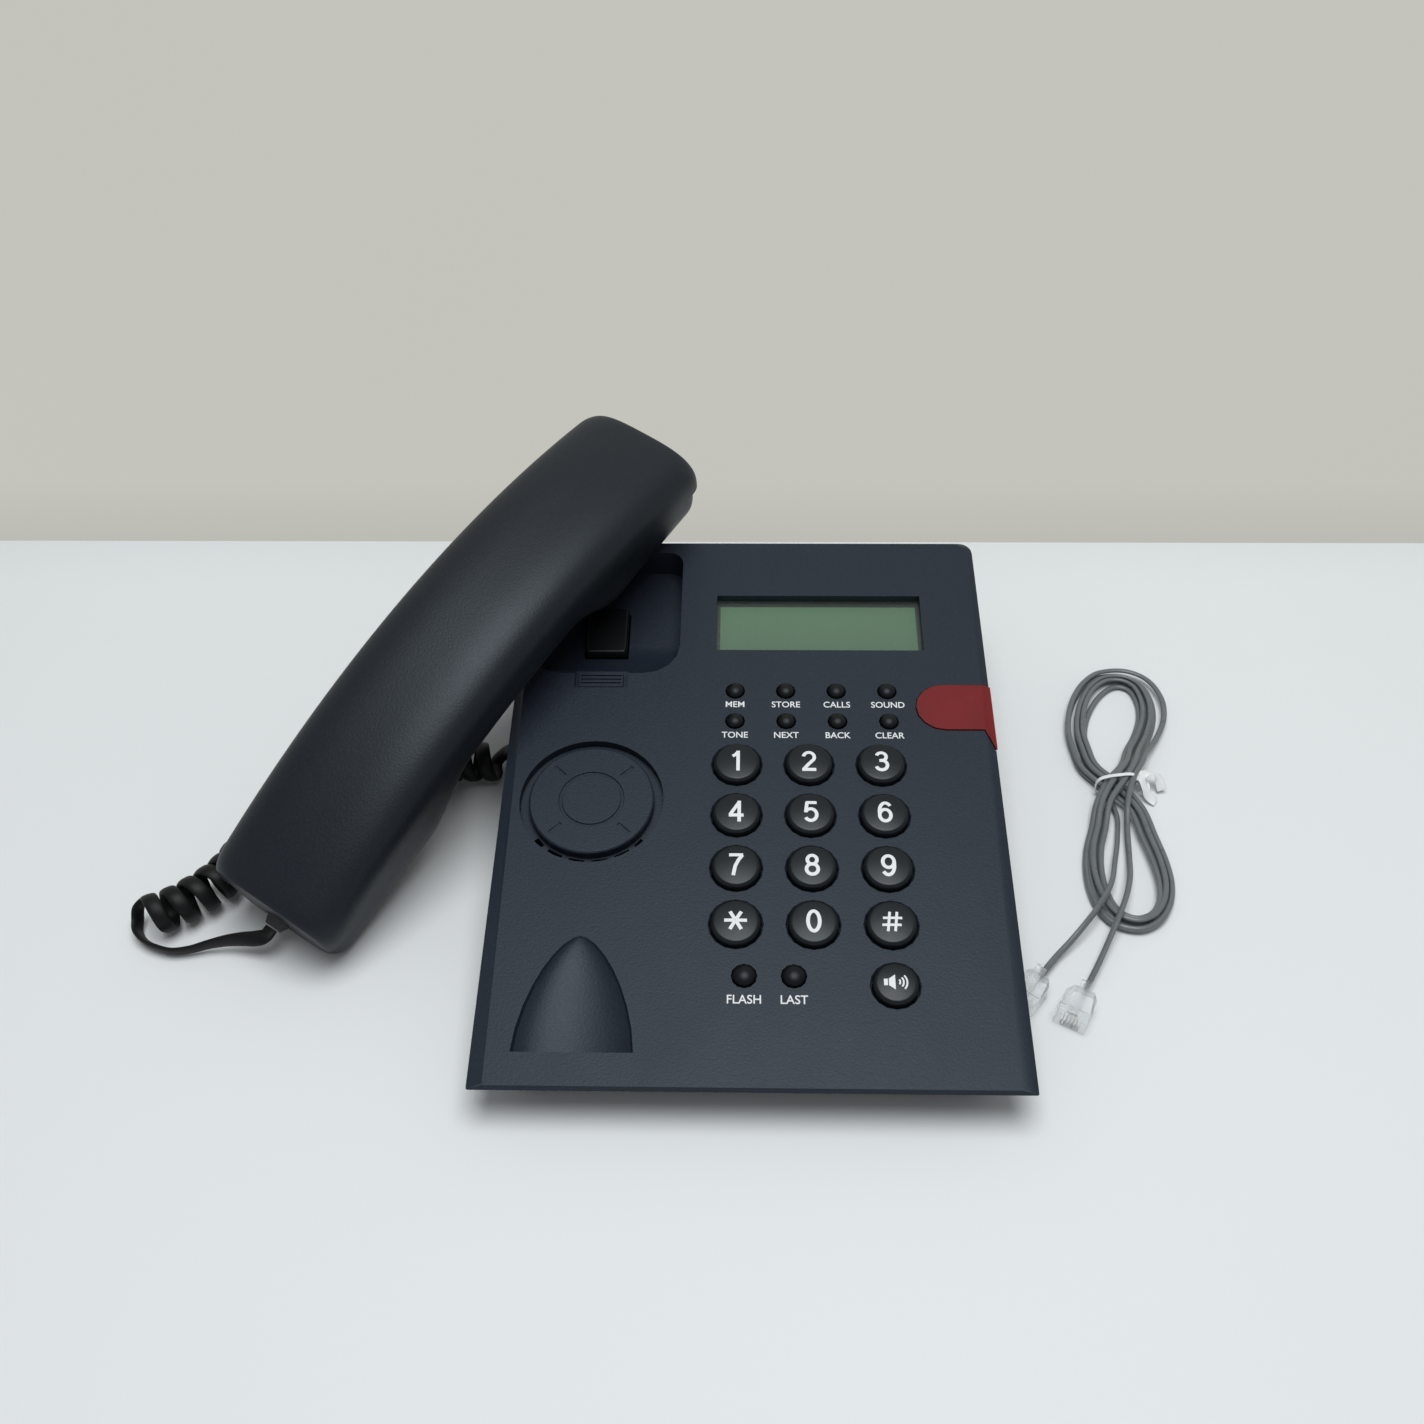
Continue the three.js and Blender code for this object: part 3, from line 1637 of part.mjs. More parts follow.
const handsetWay = new THREE.Vector3(-1, 0, 0).transformDirection(handset.matrixWorld);
const handsetExit = new THREE.Vector3(-handsetPlugProud - fitGap, 0, handsetSocketHeight)
  .applyMatrix4(handset.matrixWorld);
const baseExit = new THREE.Vector3(-skirtHalf - handsetPlugProud - fitGap, handsetJackY, jackHeight);
const curlyPoints = curlyCordPoints(handsetExit, handsetWay, baseExit);
phone.add(piece('curly_cord', tube(curlyPoints, curlWireRadius, curlSides), 'black'));
report('curly cord', curlyPoints, curlWireRadius);

const linePoints = [...smoothRoute(lineEndA, endStep), ...hankPoints(), ...smoothRoute(lineEndB, endStep)];
phone.add(piece('line_cord', tube(linePoints, lineRadius, lineSides), 'grey'));
report('line cord', linePoints, lineRadius);

const waistLeft = hankMiddle[0];
const waistRight = hankMiddle[hankMiddle.length / 2];
const tieCentre = waistLeft.clone().add(waistRight).multiplyScalar(0.5);
const strandSpread = hankPitch * (hankLoopsPerLayer / 2 - hankStartShare) + lineRadius;
const tieInner = waistRight.distanceTo(waistLeft) / 2 + strandSpread + 2 * fitGap;
const tieFloor = tieLift;
const tieCeiling = tieLift + 2 * fitGap + 2 * lineRadius + hankLayerRise + fitGap;

function twistTie() {
  const outside = toSolid(block(
    -tieInner - tieThickness,
    tieInner + tieThickness,
    -tieWidth / 2,
    tieWidth / 2,
    tieFloor - tieThickness,
    tieCeiling + tieThickness,
  ));
  const inside = toSolid(block(-tieInner, tieInner, -tieWidth, tieWidth, tieFloor, tieCeiling));
  const tailForm = block(0, tieTailLength, -tieWidth / 4, tieWidth / 4, -tieThickness, tieThickness);
  const tail = toSolid(tailForm.rotateZ(-Math.PI / 3).translate(tieInner, 0, tieCeiling / 2));
  return join(cut(outside, inside), cut(tail, inside));
}

const tie = piece('twist_tie', twistTie(), 'white');
tie.position.set(tieCentre.x, tieCentre.y, 0);
phone.add(tie);

function placePlug(name, from, to) {
  const mesh = piece(name, latchedPlug(linePlugWidth, linePlugHeight, linePlugLength), 'clear');
  const way = to.clone().sub(from).setZ(0).normalize();
  mesh.rotation.z = Math.atan2(way.y, way.x);
  mesh.position.copy(from).addScaledVector(way, fitGap).setZ(linePlugHeight / 2 + fitGap);
  phone.add(mesh);
}

placePlug('line_plug_a', lineEndA[0], lineEndA[0].clone().multiplyScalar(2).sub(lineEndA[1]));
placePlug('line_plug_b', lineEndB.at(-1), lineEndB.at(-1).clone().multiplyScalar(2).sub(lineEndB.at(-2)));

export default phone;
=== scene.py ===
"""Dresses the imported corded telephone: finishes, cords, lettering, studio and camera."""

import logging
import math
from dataclasses import dataclass, field
from enum import Enum
from typing import Any, Callable, Mapping, Sequence

import bmesh
import bpy
from mathutils import Euler, Matrix, Vector


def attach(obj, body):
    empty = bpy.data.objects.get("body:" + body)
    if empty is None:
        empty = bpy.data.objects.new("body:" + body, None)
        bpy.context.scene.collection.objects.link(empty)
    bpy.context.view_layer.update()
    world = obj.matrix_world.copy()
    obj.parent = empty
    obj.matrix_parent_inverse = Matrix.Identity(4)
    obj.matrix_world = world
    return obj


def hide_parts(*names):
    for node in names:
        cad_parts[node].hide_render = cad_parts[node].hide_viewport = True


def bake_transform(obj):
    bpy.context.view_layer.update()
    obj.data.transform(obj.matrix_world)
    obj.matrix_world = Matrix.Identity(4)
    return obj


log = logging.getLogger("telephone")

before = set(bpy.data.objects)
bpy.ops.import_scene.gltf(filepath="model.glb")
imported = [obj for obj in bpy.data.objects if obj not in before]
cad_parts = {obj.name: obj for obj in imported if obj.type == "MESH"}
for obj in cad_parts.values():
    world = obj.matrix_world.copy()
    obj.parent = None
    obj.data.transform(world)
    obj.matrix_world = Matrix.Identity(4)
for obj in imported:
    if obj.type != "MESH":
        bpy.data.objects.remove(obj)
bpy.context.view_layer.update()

MM = 0.001
WELD = 2e-7
NODE_WELD = 2e-6
SLIVER = 1e-6
FLAT_ANGLE = math.radians(0.4)
UP = Vector((0, 0, 1))
Colour = tuple[float, float, float]
Point = tuple[float, float, float]
Flat = tuple[float, float]
Item = bpy.types.Object


class Segment(Enum):
    """How finely a round piece is divided."""

    DOME = 40
    KEY = 56


class Edge(Enum):
    """Angle in degrees past which two faces meet in a hard edge."""

    SOFT = 50
    CRISP = 28


# Shader maths


@dataclass(frozen=True)
class Wire:
    """An output socket that Python's arithmetic works on."""

    bench: "Bench"
    socket: bpy.types.NodeSocket

    def __add__(self, other: "Wire | float") -> "Wire":
        """Sum of two values."""
        return self.bench.math("ADD", self, other)

    __radd__ = __add__

    def __mul__(self, other: "Wire | float") -> "Wire":
        """Product of two values."""
        return self.bench.math("MULTIPLY", self, other)

    __rmul__ = __mul__

    def __sub__(self, other: "Wire | float") -> "Wire":
        """Difference of two values."""
        return self.bench.math("SUBTRACT", self, other)

    def __rsub__(self, other: float) -> "Wire":
        """A number less this value."""
        return self.bench.math("SUBTRACT", other, self)

    def __truediv__(self, other: "Wire | float") -> "Wire":
        """Quotient of two values."""
        return self.bench.math("DIVIDE", self, other)

    def __gt__(self, other: "Wire | float") -> "Wire":
        """One where this value is the larger, and nothing elsewhere."""
        return self.bench.math("GREATER_THAN", self, other)

    def __lt__(self, other: "Wire | float") -> "Wire":
        """One where this value is the smaller, and nothing elsewhere."""
        return self.bench.math("LESS_THAN", self, other)


@dataclass
class Bench:
    """Adds nodes to one material's tree."""

    tree: bpy.types.NodeTree

    def node(
        self,
        kind: str,
        settings: Mapping[str, Any] | None = None,
        values: Mapping[str | int, Any] | None = None,
        out: str | int = 0,
    ) -> Wire:
        """Makes one node.

        Args:
            kind: Blender's name for the node type.
            settings: Properties that are set before the sockets; "stops" fills a colour ramp.
            values: Constants and wires for the input sockets, by name or place.
            out: The output that the result stands for.

        Returns:
            The chosen output.
        """
        made = self.tree.nodes.new(kind)
        for name, value in (settings or {}).items():
            if name == "stops":
                for stop, (place, colour) in zip(made.color_ramp.elements, value):
                    stop.position = place
                    stop.color = colour
            else:
                setattr(made, name, value)
        for name, value in (values or {}).items():
            socket = made.inputs[name]
            if isinstance(value, Wire):
                self.tree.links.new(value.socket, socket)
            else:
                socket.default_value = value
        return Wire(self, made.outputs[out] if len(made.outputs) else None)

    def math(self, operation: str, *terms: "Wire | float") -> Wire:
        """One Math node on wires and numbers."""
        return self.node("ShaderNodeMath", {"operation": operation}, dict(enumerate(terms)))

    def mix(self, share: "Wire | float", low: "Wire | Colour", high: "Wire | Colour") -> Wire:
        """Blends two colours by a share.

        Args:
            share: How much of the second colour shows.
            low: The first colour.
            high: The second colour.

        Returns:
            The blended colour.
        """
        opaque = [c if isinstance(c, Wire) else (*c, 1.0) for c in (low, high)]
        return self.node(
            "ShaderNodeMix",
            {"data_type": "RGBA"},
            {0: share, 6: opaque[0], 7: opaque[1]},
            out=2,
        )

    def place(self, scale: Point = (1, 1, 1)) -> Wire:
        """Object coordinates, stretched by a scale."""
        where = self.node("ShaderNodeTexCoord", out="Object")
        return self.node("ShaderNodeMapping", {}, {"Vector": where, "Scale": scale})

    def noise(self, where: Wire, size: float, detail: float = 2.0, rough: float = 0.5) -> Wire:
        """Soft random field whose blobs are about size metres across."""
        return self.node(
            "ShaderNodeTexNoise",
            {"noise_dimensions": "3D"},
            {"Vector": where, "Scale": 1.0 / size, "Detail": detail, "Roughness": rough},
        )

    def bump(self, height: Wire, depth: float) -> Wire:
        """Surface normal of a height field that is depth metres deep."""
        return self.node("ShaderNodeBump", {}, {"Height": height, "Distance": depth, "Strength": 1.0})


def blank_material(name: str) -> tuple[bpy.types.Material, Bench]:
    """A material whose tree is empty.

    Args:
        name: What the material is called.

    Returns:
        The material and the bench that fills it.
    """
    material = bpy.data.materials.new(name)
    material.use_nodes = True
    material.node_tree.nodes.clear()
    return material, Bench(material.node_tree)


def surface(bench: Bench, values: Mapping[str, Any]) -> None:
    """Puts a Principled shader on the material's output.

    Args:
        bench: The material's bench.
        values: Sockets of the shader, as constants or wires.
    """
    shader = bench.node("ShaderNodeBsdfPrincipled", {}, values)
    bench.node("ShaderNodeOutputMaterial", {}, {"Surface": shader})


def srgb(red: int, green: int, blue: int) -> Colour:
    """A display colour from 0 to 255 as the linear colour that a shader takes."""
    shares = (red / 255, green / 255, blue / 255)
    return tuple(share / 12.92 if share <= 0.04045 else ((share + 0.055) / 1.055) ** 2.4 for share in shares)


# Finishes


def scaled(colour: Colour, share: float) -> Colour:
    """A colour made lighter or darker by a share."""
    return tuple(part * share for part in colour)


@dataclass(frozen=True)
class TexturedPlastic:
    """Housing plastic with a fine eroded grain, slightly uneven tone and faint dust."""

    name: str
    colour: Colour
    roughness: float = 0.46
    grain: float = 0.0007
    depth: float = 0.00007
    dust: float = 0.03
    shine: float = 0.32

    def make(self) -> bpy.types.Material:
        """Builds the material."""
        material, bench = blank_material(self.name)
        where = bench.place()
        grain = bench.noise(where, self.grain, 2.5, 0.6)
        tone = bench.noise(where, 0.045, 3.0)
        specks = bench.noise(where, 0.0011, 4.0, 0.7)
        smears = bench.noise(bench.place(scale=(1.0, 0.35, 1.0)), 0.018, 4.0, 0.6)
        base = bench.mix(tone, scaled(self.colour, 0.86), scaled(self.colour, 1.16))
        base = bench.mix((grain - 0.5) * 0.8 + 0.15, base, scaled(self.colour, 2.2))
        base = bench.mix((specks > 0.74) * self.dust, base, (0.32, 0.33, 0.34))
        surface(bench, {
            "Base Color": base,
            "Roughness": self.roughness + (grain - 0.5) * 0.16 + (smears - 0.5) * 0.1,
            "Normal": bench.bump(grain, self.depth),
            "Specular IOR Level": self.shine,
            "Specular Tint": (0.84, 0.93, 1.0, 1.0),
        })
        return material


@dataclass(frozen=True)
class SmoothPlastic:
    """Moulded plastic with a satin or glossy face and very fine waviness."""

    name: str
    colour: Colour
    roughness: float = 0.32
    shine: float = 0.36
    wave: float = 0.000012

    def make(self) -> bpy.types.Material:
        """Builds the material."""
        material, bench = blank_material(self.name)
        where = bench.place()
        wave = bench.noise(where, 0.0035, 2.0)
        fine = bench.noise(where, 0.0006, 3.0, 0.6)
        smears = bench.noise(where, 0.009, 4.0, 0.65)
        base = bench.mix(wave, scaled(self.colour, 0.9), scaled(self.colour, 1.1))
        relief = bench.bump(wave * 0.7 + fine * 0.3, self.wave)
        surface(bench, {
            "Base Color": base,
            "Roughness": self.roughness + (smears - 0.5) * 0.14,
            "Normal": relief,
            "Specular IOR Level": self.shine,
            "Specular Tint": (0.88, 0.95, 1.0, 1.0),
        })
        return material


@dataclass(frozen=True)
class LampPlastic:
    """Dyed translucent lens with a cloudy depth."""

    name: str
    deep: Colour
    bright: Colour

    def make(self) -> bpy.types.Material:
        """Builds the material."""
        material, bench = blank_material(self.name)
        where = bench.place()
        cloud = bench.noise(where, 0.012, 2.0)
        fine = bench.noise(where, 0.0007, 2.0)
        base = bench.mix(cloud * 0.7 + fine * 0.2, self.deep, self.bright)
        surface(bench, {
            "Base Color": base,
            "Roughness": 0.3 + fine * 0.1,
            "Normal": bench.bump(fine, 0.00001),
            "Subsurface Weight": 0.15,
            "Subsurface Radius": (0.006, 0.001, 0.001),
            "Subsurface Scale": 1.0,
            "Specular IOR Level": 0.36,
        })
        return material


@dataclass(frozen=True)
class ClearPlastic:
    """Clear moulded plastic with slight haze and flow lines."""

    name: str
    tint: Colour
    alpha: float
    roughness: float = 0.05
    through: float = 0.0

    def make(self) -> bpy.types.Material:
        """Builds the material."""
        material, bench = blank_material(self.name)
        flow = bench.noise(bench.place(scale=(1.0, 3.0, 1.0)), 0.002, 2.0)
        surface(bench, {
            "Base Color": bench.mix(flow, scaled(self.tint, 0.92), self.tint),
            "Roughness": self.roughness + flow * 0.06,
            "Normal": bench.bump(flow, 0.00002),
            "Alpha": self.alpha + (flow - 0.5) * 0.1,
            "Transmission Weight": self.through,
            "Coat Weight": 0.4,
            "Coat Roughness": 0.04,
            "IOR": 1.5,
        })
        return material


@dataclass(frozen=True)
class Crystal:
    """Reflective liquid crystal display: grey-green layer with a faint cell grid, a dark border and painted
    shading that makes it lighter towards its upper edge and darker towards its lower edge.
    """

    name: str
    leaf: Colour
    border: Colour
    centre: Point
    half_width: float
    half_height: float
    turn: float

    def make(self) -> bpy.types.Material:
        """Builds the material."""
        material, bench = blank_material(self.name)
        turned = bench.node(
            "ShaderNodeVectorRotate",
            {"rotation_type": "X_AXIS"},
            {"Vector": bench.place(), "Center": self.centre, "Angle": -self.turn},
        )
        local = bench.node("ShaderNodeVectorMath", {"operation": "SUBTRACT"}, {0: turned, 1: self.centre})
        across = bench.node("ShaderNodeSeparateXYZ", {}, {0: local}, out=0)
        upward = bench.node("ShaderNodeSeparateXYZ", {}, {0: local}, out=1)
        cells = bench.math("FRACT", across / 0.0035) < 0.06
        rows = bench.math("FRACT", upward / 0.0085 + 0.5) < 0.025
        cloud = bench.noise(bench.place(), 0.03, 2.0)
        # Painted shading: the leaf is lighter towards the display's upper edge and darker towards its lower
        # edge.
        painted_light_ramp = bench.math("MULTIPLY_ADD", upward, 1.0 / (2 * self.half_height), 0.5)
        leaf = bench.mix(painted_light_ramp * 0.7 + cloud * 0.3, scaled(self.leaf, 0.8), scaled(self.leaf, 1.2))
        grid = bench.math("MAXIMUM", cells, rows)
        leaf = bench.mix(grid * 0.06, leaf, (0.02, 0.03, 0.02))
        outside = bench.math(
            "MAXIMUM",
            bench.math("ABSOLUTE", across) > self.half_width,
            bench.math("ABSOLUTE", upward) > self.half_height,
        )
        surface(bench, {
            "Base Color": bench.mix(outside, leaf, self.border),
            "Roughness": 0.35 + cloud * 0.1,
            "Normal": bench.bump(grid, 0.00001),
        })
        return material


@dataclass(frozen=True)
class Metal:
    """Plated or plain metal with fine drawn lines and dull patches."""

    name: str
    colour: Colour
    roughness: float = 0.28

    def make(self) -> bpy.types.Material:
        """Builds the material."""
        material, bench = blank_material(self.name)
        lines = bench.noise(bench.place(scale=(0.15, 1.0, 1.0)), 0.0004, 3.0)
        dull = bench.noise(bench.place(), 0.003, 3.0)
        surface(bench, {
            "Base Color": bench.mix(dull, scaled(self.colour, 0.8), self.colour),
            "Roughness": self.roughness + lines * 0.15 + dull * 0.1,
            "Metallic": 0.95 - dull * 0.1,
            "Normal": bench.bump(lines, 0.00001),
        })
        return material


@dataclass(frozen=True)
class Rubber:
    """Matt moulded rubber with a soft bloom."""

    name: str
    colour: Colour

    def make(self) -> bpy.types.Material:
        """Builds the material."""
        material, bench = blank_material(self.name)
        bloom = bench.noise(bench.place(), 0.006, 3.0)
        fine = bench.noise(bench.place(), 0.0005, 2.0)
        surface(bench, {
            "Base Color": bench.mix(bloom * 0.6, self.colour, scaled(self.colour, 2.0)),
            "Roughness": 0.78 + fine * 0.12,
            "Normal": bench.bump(fine, 0.00002),
        })
        return material


@dataclass(frozen=True)
class Vinyl:
    """Extruded vinyl sleeve of a cord, with shallow draw lines along it and slight scuffs."""

    name: str
    colour: Colour
    roughness: float = 0.38
    coat: float = 0.1
    shine: float = 0.5

    def make(self) -> bpy.types.Material:
        """Builds the material."""
        material, bench = blank_material(self.name)
        scuffs = bench.noise(bench.place(), 0.004, 4.0, 0.65)
        fine = bench.noise(bench.place(), 0.0007, 2.0)
        surface(bench, {
            "Base Color": bench.mix(scuffs, scaled(self.colour, 0.82), scaled(self.colour, 1.18)),
            "Roughness": self.roughness + (scuffs - 0.5) * 0.2,
            "Normal": bench.bump(fine * 0.5 + scuffs * 0.5, 0.00002),
            "Coat Weight": self.coat,
            "Coat Roughness": 0.3,
            "Specular IOR Level": self.shine,
        })
        return material


@dataclass(frozen=True)
class PrintedInk:
    """White pad-printed lettering, a little thin in places."""

    name: str
    colour: Colour = (0.78, 0.8, 0.82)

    def make(self) -> bpy.types.Material:
        """Builds the material."""
        material, bench = blank_material(self.name)
        thin = bench.noise(bench.place(), 0.0009, 3.0)
        surface(bench, {
            "Base Color": bench.mix(thin, scaled(self.colour, 0.88), self.colour),
            "Roughness": 0.5 + thin * 0.1,
            "Normal": bench.bump(thin, 0.00001),
        })
        return material


@dataclass(frozen=True)
class CircuitBoard:
    """Green solder mask with copper tracks just showing under it."""

    name: str
    mask: Colour
    track: Colour

    def make(self) -> bpy.types.Material:
        """Builds the material."""
        material, bench = blank_material(self.name)
        cells = bench.node(
            "ShaderNodeTexVoronoi",
            {"distance": "CHEBYCHEV", "feature": "F1"},
            {"Vector": bench.place(), "Scale": 260.0, "Randomness": 0.7},
        )
        tracks = cells > 0.34
        surface(bench, {
            "Base Color": bench.mix(tracks * 0.6, self.mask, self.track),
            "Roughness": 0.4 + tracks * 0.1,
            "Normal": bench.bump(tracks, 0.00002),
        })
        return material


@dataclass(frozen=True)
class StudioPaint:
    """Plain pale paint of the table, or of the wall, which shows only from the front and has a painted shadow
    at its foot.
    """

    name: str
    colour: Colour
    is_wall: bool = False

    def make(self) -> bpy.types.Material:
        """Builds the material."""
        material, bench = blank_material(self.name)
        cloud = bench.noise(bench.place(), 0.35, 2.0)
        base = bench.mix(cloud, scaled(self.colour, 0.97), self.colour)
        paint = bench.node("ShaderNodeBsdfPrincipled", {}, {"Base Color": base, "Roughness": 0.7})
        if self.is_wall:
            # Painted shadow: over its lowest 3 cm the wall darkens towards the table, as the shade where wall
            # meets table.
            height = bench.node("ShaderNodeSeparateXYZ", {}, {0: bench.place()}, out=2)
            foot = bench.math("MAXIMUM", 1.0 - height / 0.03, 0.0)
            wall_tone_with_foot_shadow = bench.mix(foot * 0.35, base, scaled(self.colour, 0.72))
            glow = bench.node("ShaderNodeEmission", {}, {"Color": wall_tone_with_foot_shadow, "Strength": 1.0})
            seen = bench.node("ShaderNodeLightPath", out="Is Camera Ray")
            for ray in ("Is Glossy Ray", "Is Transmission Ray"):
                seen = seen + bench.node("ShaderNodeLightPath", out=ray)
            seen = bench.math("MINIMUM", seen, 1.0)
            paint = bench.node("ShaderNodeMixShader", {}, {0: seen, 1: paint, 2: glow})
            behind = bench.node("ShaderNodeNewGeometry", out="Backfacing")
            clear = bench.node("ShaderNodeBsdfTransparent")
            paint = bench.node("ShaderNodeMixShader", {}, {0: behind, 1: paint, 2: clear})
        bench.node("ShaderNodeOutputMaterial", {}, {"Surface": paint})
        return material


HOUSING = TexturedPlastic("housing_plastic", srgb(25, 31, 41))
HANDSET_PLASTIC = TexturedPlastic("handset_plastic", srgb(20, 24, 30), roughness=0.44)
KEY_PLASTIC = SmoothPlastic("key_plastic", srgb(17, 20, 24), roughness=0.36)
BUTTON_PLASTIC = SmoothPlastic("button_plastic", srgb(10, 11, 13), roughness=0.4, shine=0.26)
SOCKET_PLASTIC = SmoothPlastic("socket_plastic", srgb(12, 13, 15), roughness=0.45)
LAMP = LampPlastic("lamp_plastic", srgb(92, 10, 14), srgb(126, 20, 24))
PLUG_CLEAR = ClearPlastic("plug_clear", (0.93, 0.95, 0.96), 0.5, through=1.0)
PLUG_SMOKED = ClearPlastic("plug_smoked", (0.02, 0.021, 0.023), 0.85)
WINDOW_CLEAR = ClearPlastic("window_clear", (0.3, 0.36, 0.32), 0.08)
STEEL = Metal("plated_steel", (0.62, 0.63, 0.65))
GOLD = Metal("gilt_contact", (0.85, 0.62, 0.28), 0.2)
DARK_METAL = Metal("dark_metal", (0.12, 0.12, 0.13), 0.4)
FOOT_RUBBER = Rubber("foot_rubber", srgb(36, 38, 40))
CURLY_VINYL = Vinyl("curly_vinyl", srgb(9, 10, 11), 0.5, 0.0, 0.24)
LINE_VINYL = Vinyl("line_vinyl", srgb(101, 106, 108), 0.3)
TIE_VINYL = Vinyl("tie_vinyl", srgb(226, 228, 228), 0.5)
INK = PrintedInk("white_ink")
BOARD = CircuitBoard("circuit_board", srgb(28, 86, 48), srgb(60, 122, 66))
TABLE_PAINT = StudioPaint("table_paint", srgb(225, 228, 229))
WALL_PAINT = StudioPaint("wall_paint", srgb(197, 197, 190), is_wall=True)


class Paintshop:
    """Makes each finish once and hands its material out."""

    made: dict[str, bpy.types.Material] = {}

    @classmethod
    def get(cls, finish: Any) -> bpy.types.Material:
        """The material of a finish."""
        if finish.name not in cls.made:
            cls.made[finish.name] = finish.make()
        return cls.made[finish.name]


# Mesh helpers

SLOPE = math.radians(10)
PANEL = Matrix.Translation((0, -0.1, 0.017)) @ Matrix.Rotation(SLOPE, 4, "X")


def linked(name: str, data: Any) -> Item:
    """A new object of the scene with this mesh, curve, light or camera."""
    item = bpy.data.objects.new(name, data)
    bpy.context.scene.collection.objects.link(item)
    return item


def painted(item: Item, finish: Any) -> Item:
    """Gives one piece one material."""
    item.data.materials.clear()
    item.data.materials.append(Paintshop.get(finish))
    return item


def dress(node: str, finish: Any) -> None:
    """Gives a kept CAD node its finish."""
    painted(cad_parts[node], finish)
    log.info("%s kept", node)


def hand_over(item: Item, body: str, slot: str, finish: Any, *nodes: str) -> Item:
    """Gives a finished piece its material and its body, and hides the CAD nodes that it stands for.

    Args:
        item: The piece, in place.
        body: The CAD body that it moves with.
        slot: Not used.
        finish: Its finish, or None where it has its materials.
        nodes: The CAD nodes that it replaces.

    Returns:
        The piece.
    """
    if finish is not None:
        painted(item, finish)
    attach(item, body)
    if nodes:
        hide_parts(*nodes)
    log.info("%s: %d faces on %s", item.name, len(item.data.polygons), body)
    return item


def object_from(
    name: str, bm: bmesh.types.BMesh, edge: Edge = Edge.SOFT, fix: bool = True
) -> Item:
    """Turns a bmesh into an object with smooth faces and hard edges where they turn sharply.

    Args:
        name: The piece's name.
        bm: The mesh in the making, which this frees.
        edge: The angle past which an edge is hard.
        fix: Whether the faces are turned outward again.

    Returns:
        The object, linked to the scene.
    """
    bmesh.ops.remove_doubles(bm, verts=bm.verts, dist=WELD)
    if fix:
        bmesh.ops.recalc_face_normals(bm, faces=bm.faces)
    for face in bm.faces:
        face.smooth = True
    limit = math.radians(edge.value)
    for side in bm.edges:
        side.smooth = len(side.link_faces) == 2 and side.calc_face_angle(0.0) < limit
    mesh = bpy.data.meshes.new(name)
    bm.to_mesh(mesh)
    bm.free()
    item = linked(name, mesh)
    return item


def applied(item: Item) -> Item:
    """Turns an object's modifiers into its mesh.

    Args:
        item: The object with modifiers.

    Returns:
        The same object, with a plain mesh.
    """
    bpy.context.view_layer.update()
    graph = bpy.context.evaluated_depsgraph_get()
    mesh = bpy.data.meshes.new_from_object(
        item.evaluated_get(graph), preserve_all_data_layers=True, depsgraph=graph
    )
    item.modifiers.clear()
    old = item.data
    item.data = mesh
    mesh.name = item.name
    if isinstance(old, bpy.types.Mesh) and old.users == 0:
        bpy.data.meshes.remove(old)
    return item


def refined(node: str, name: str, bevel: float, body: str, slot: str, finish: Any) -> Item:
    """A merged copy of a CAD node with small rounded edges and smooth curved faces, handed over.

    Args:
        node: The CAD node.
        name: The new piece's name.
        bevel: Radius of its edges in metres, or nothing.
        body: The CAD body that it moves with.
        slot: Passed on to hand_over, which does not use it.
        finish: Its finish.

    Returns:
        The piece.
    """
    bm = bmesh.new()
    bm.from_mesh(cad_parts[node].data)
    bm.transform(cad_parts[node].matrix_world)
    bmesh.ops.remove_doubles(bm, verts=bm.verts, dist=NODE_WELD)
    bmesh.ops.dissolve_degenerate(bm, edges=bm.edges, dist=SLIVER)
    bmesh.ops.dissolve_limit(bm, angle_limit=FLAT_ANGLE, verts=bm.verts, edges=bm.edges)
    item = object_from(name, bm, Edge.CRISP, fix=False)
    if bevel:
        round_off = item.modifiers.new("edges", "BEVEL")
        round_off.width = bevel
        round_off.segments = 2
        round_off.limit_method = "ANGLE"
        round_off.angle_limit = math.radians(Edge.CRISP.value)
        round_off.use_clamp_overlap = True
        flatten = item.modifiers.new("flats", "WEIGHTED_NORMAL")
        flatten.mode = "FACE_AREA"
        flatten.weight = 80
        flatten.keep_sharp = True
        applied(item)
    return hand_over(item, body, slot, finish, node)


def turned(name: str, profile: Sequence[Flat], segments: Segment) -> Item:
    """A round piece turned about its own upright axis.

    Args:
        name: The piece's name.
        profile: Radius and height pairs in millimetres, from the axis round to the axis.
        segments: How finely it is divided.

    Returns:
        The piece at the origin.
    """
    bm = bmesh.new()
    chain = [bm.verts.new((radius * MM, 0, height * MM)) for radius, height in profile]
    edges = [bm.edges.new(pair) for pair in zip(chain, chain[1:])]
    bmesh.ops.spin(
        bm,
        geom=[*chain, *edges],
        cent=(0, 0, 0),
        axis=(0, 0, 1),
        angle=2 * math.pi,
        steps=segments.value,
        use_duplicate=False,
        use_merge=True,
    )
    return object_from(name, bm)


def rounded_profile(corners: Sequence[Point], steps: int = 4) -> list[Flat]:
    """Rounds the corners of a profile.

    Args:
        corners: Radius, height and rounding of each corner in millimetres.
        steps: Steps round each rounded corner.

    Returns:
        The profile's points.
    """
    points: list[Flat] = []
    for i, (x, y, radius) in enumerate(corners):
        if radius <= 0 or i in (0, len(corners) - 1):
            points.append((x, y))
            continue
        here = Vector((x, y))
        before = (Vector(corners[i - 1][:2]) - here).normalized()
        after = (Vector(corners[i + 1][:2]) - here).normalized()
        start, stop = here + before * radius, here + after * radius
        for k in range(steps + 1):
            t = k / steps
            point = start * (1 - t) ** 2 + here * 2 * t * (1 - t) + stop * t ** 2
            points.append((point.x, point.y))
    return points


def moved(item: Item, matrix: Matrix) -> Item:
    """Applies a placement to a piece's mesh."""
    item.data.transform(matrix)
    item.data.update()
    return item


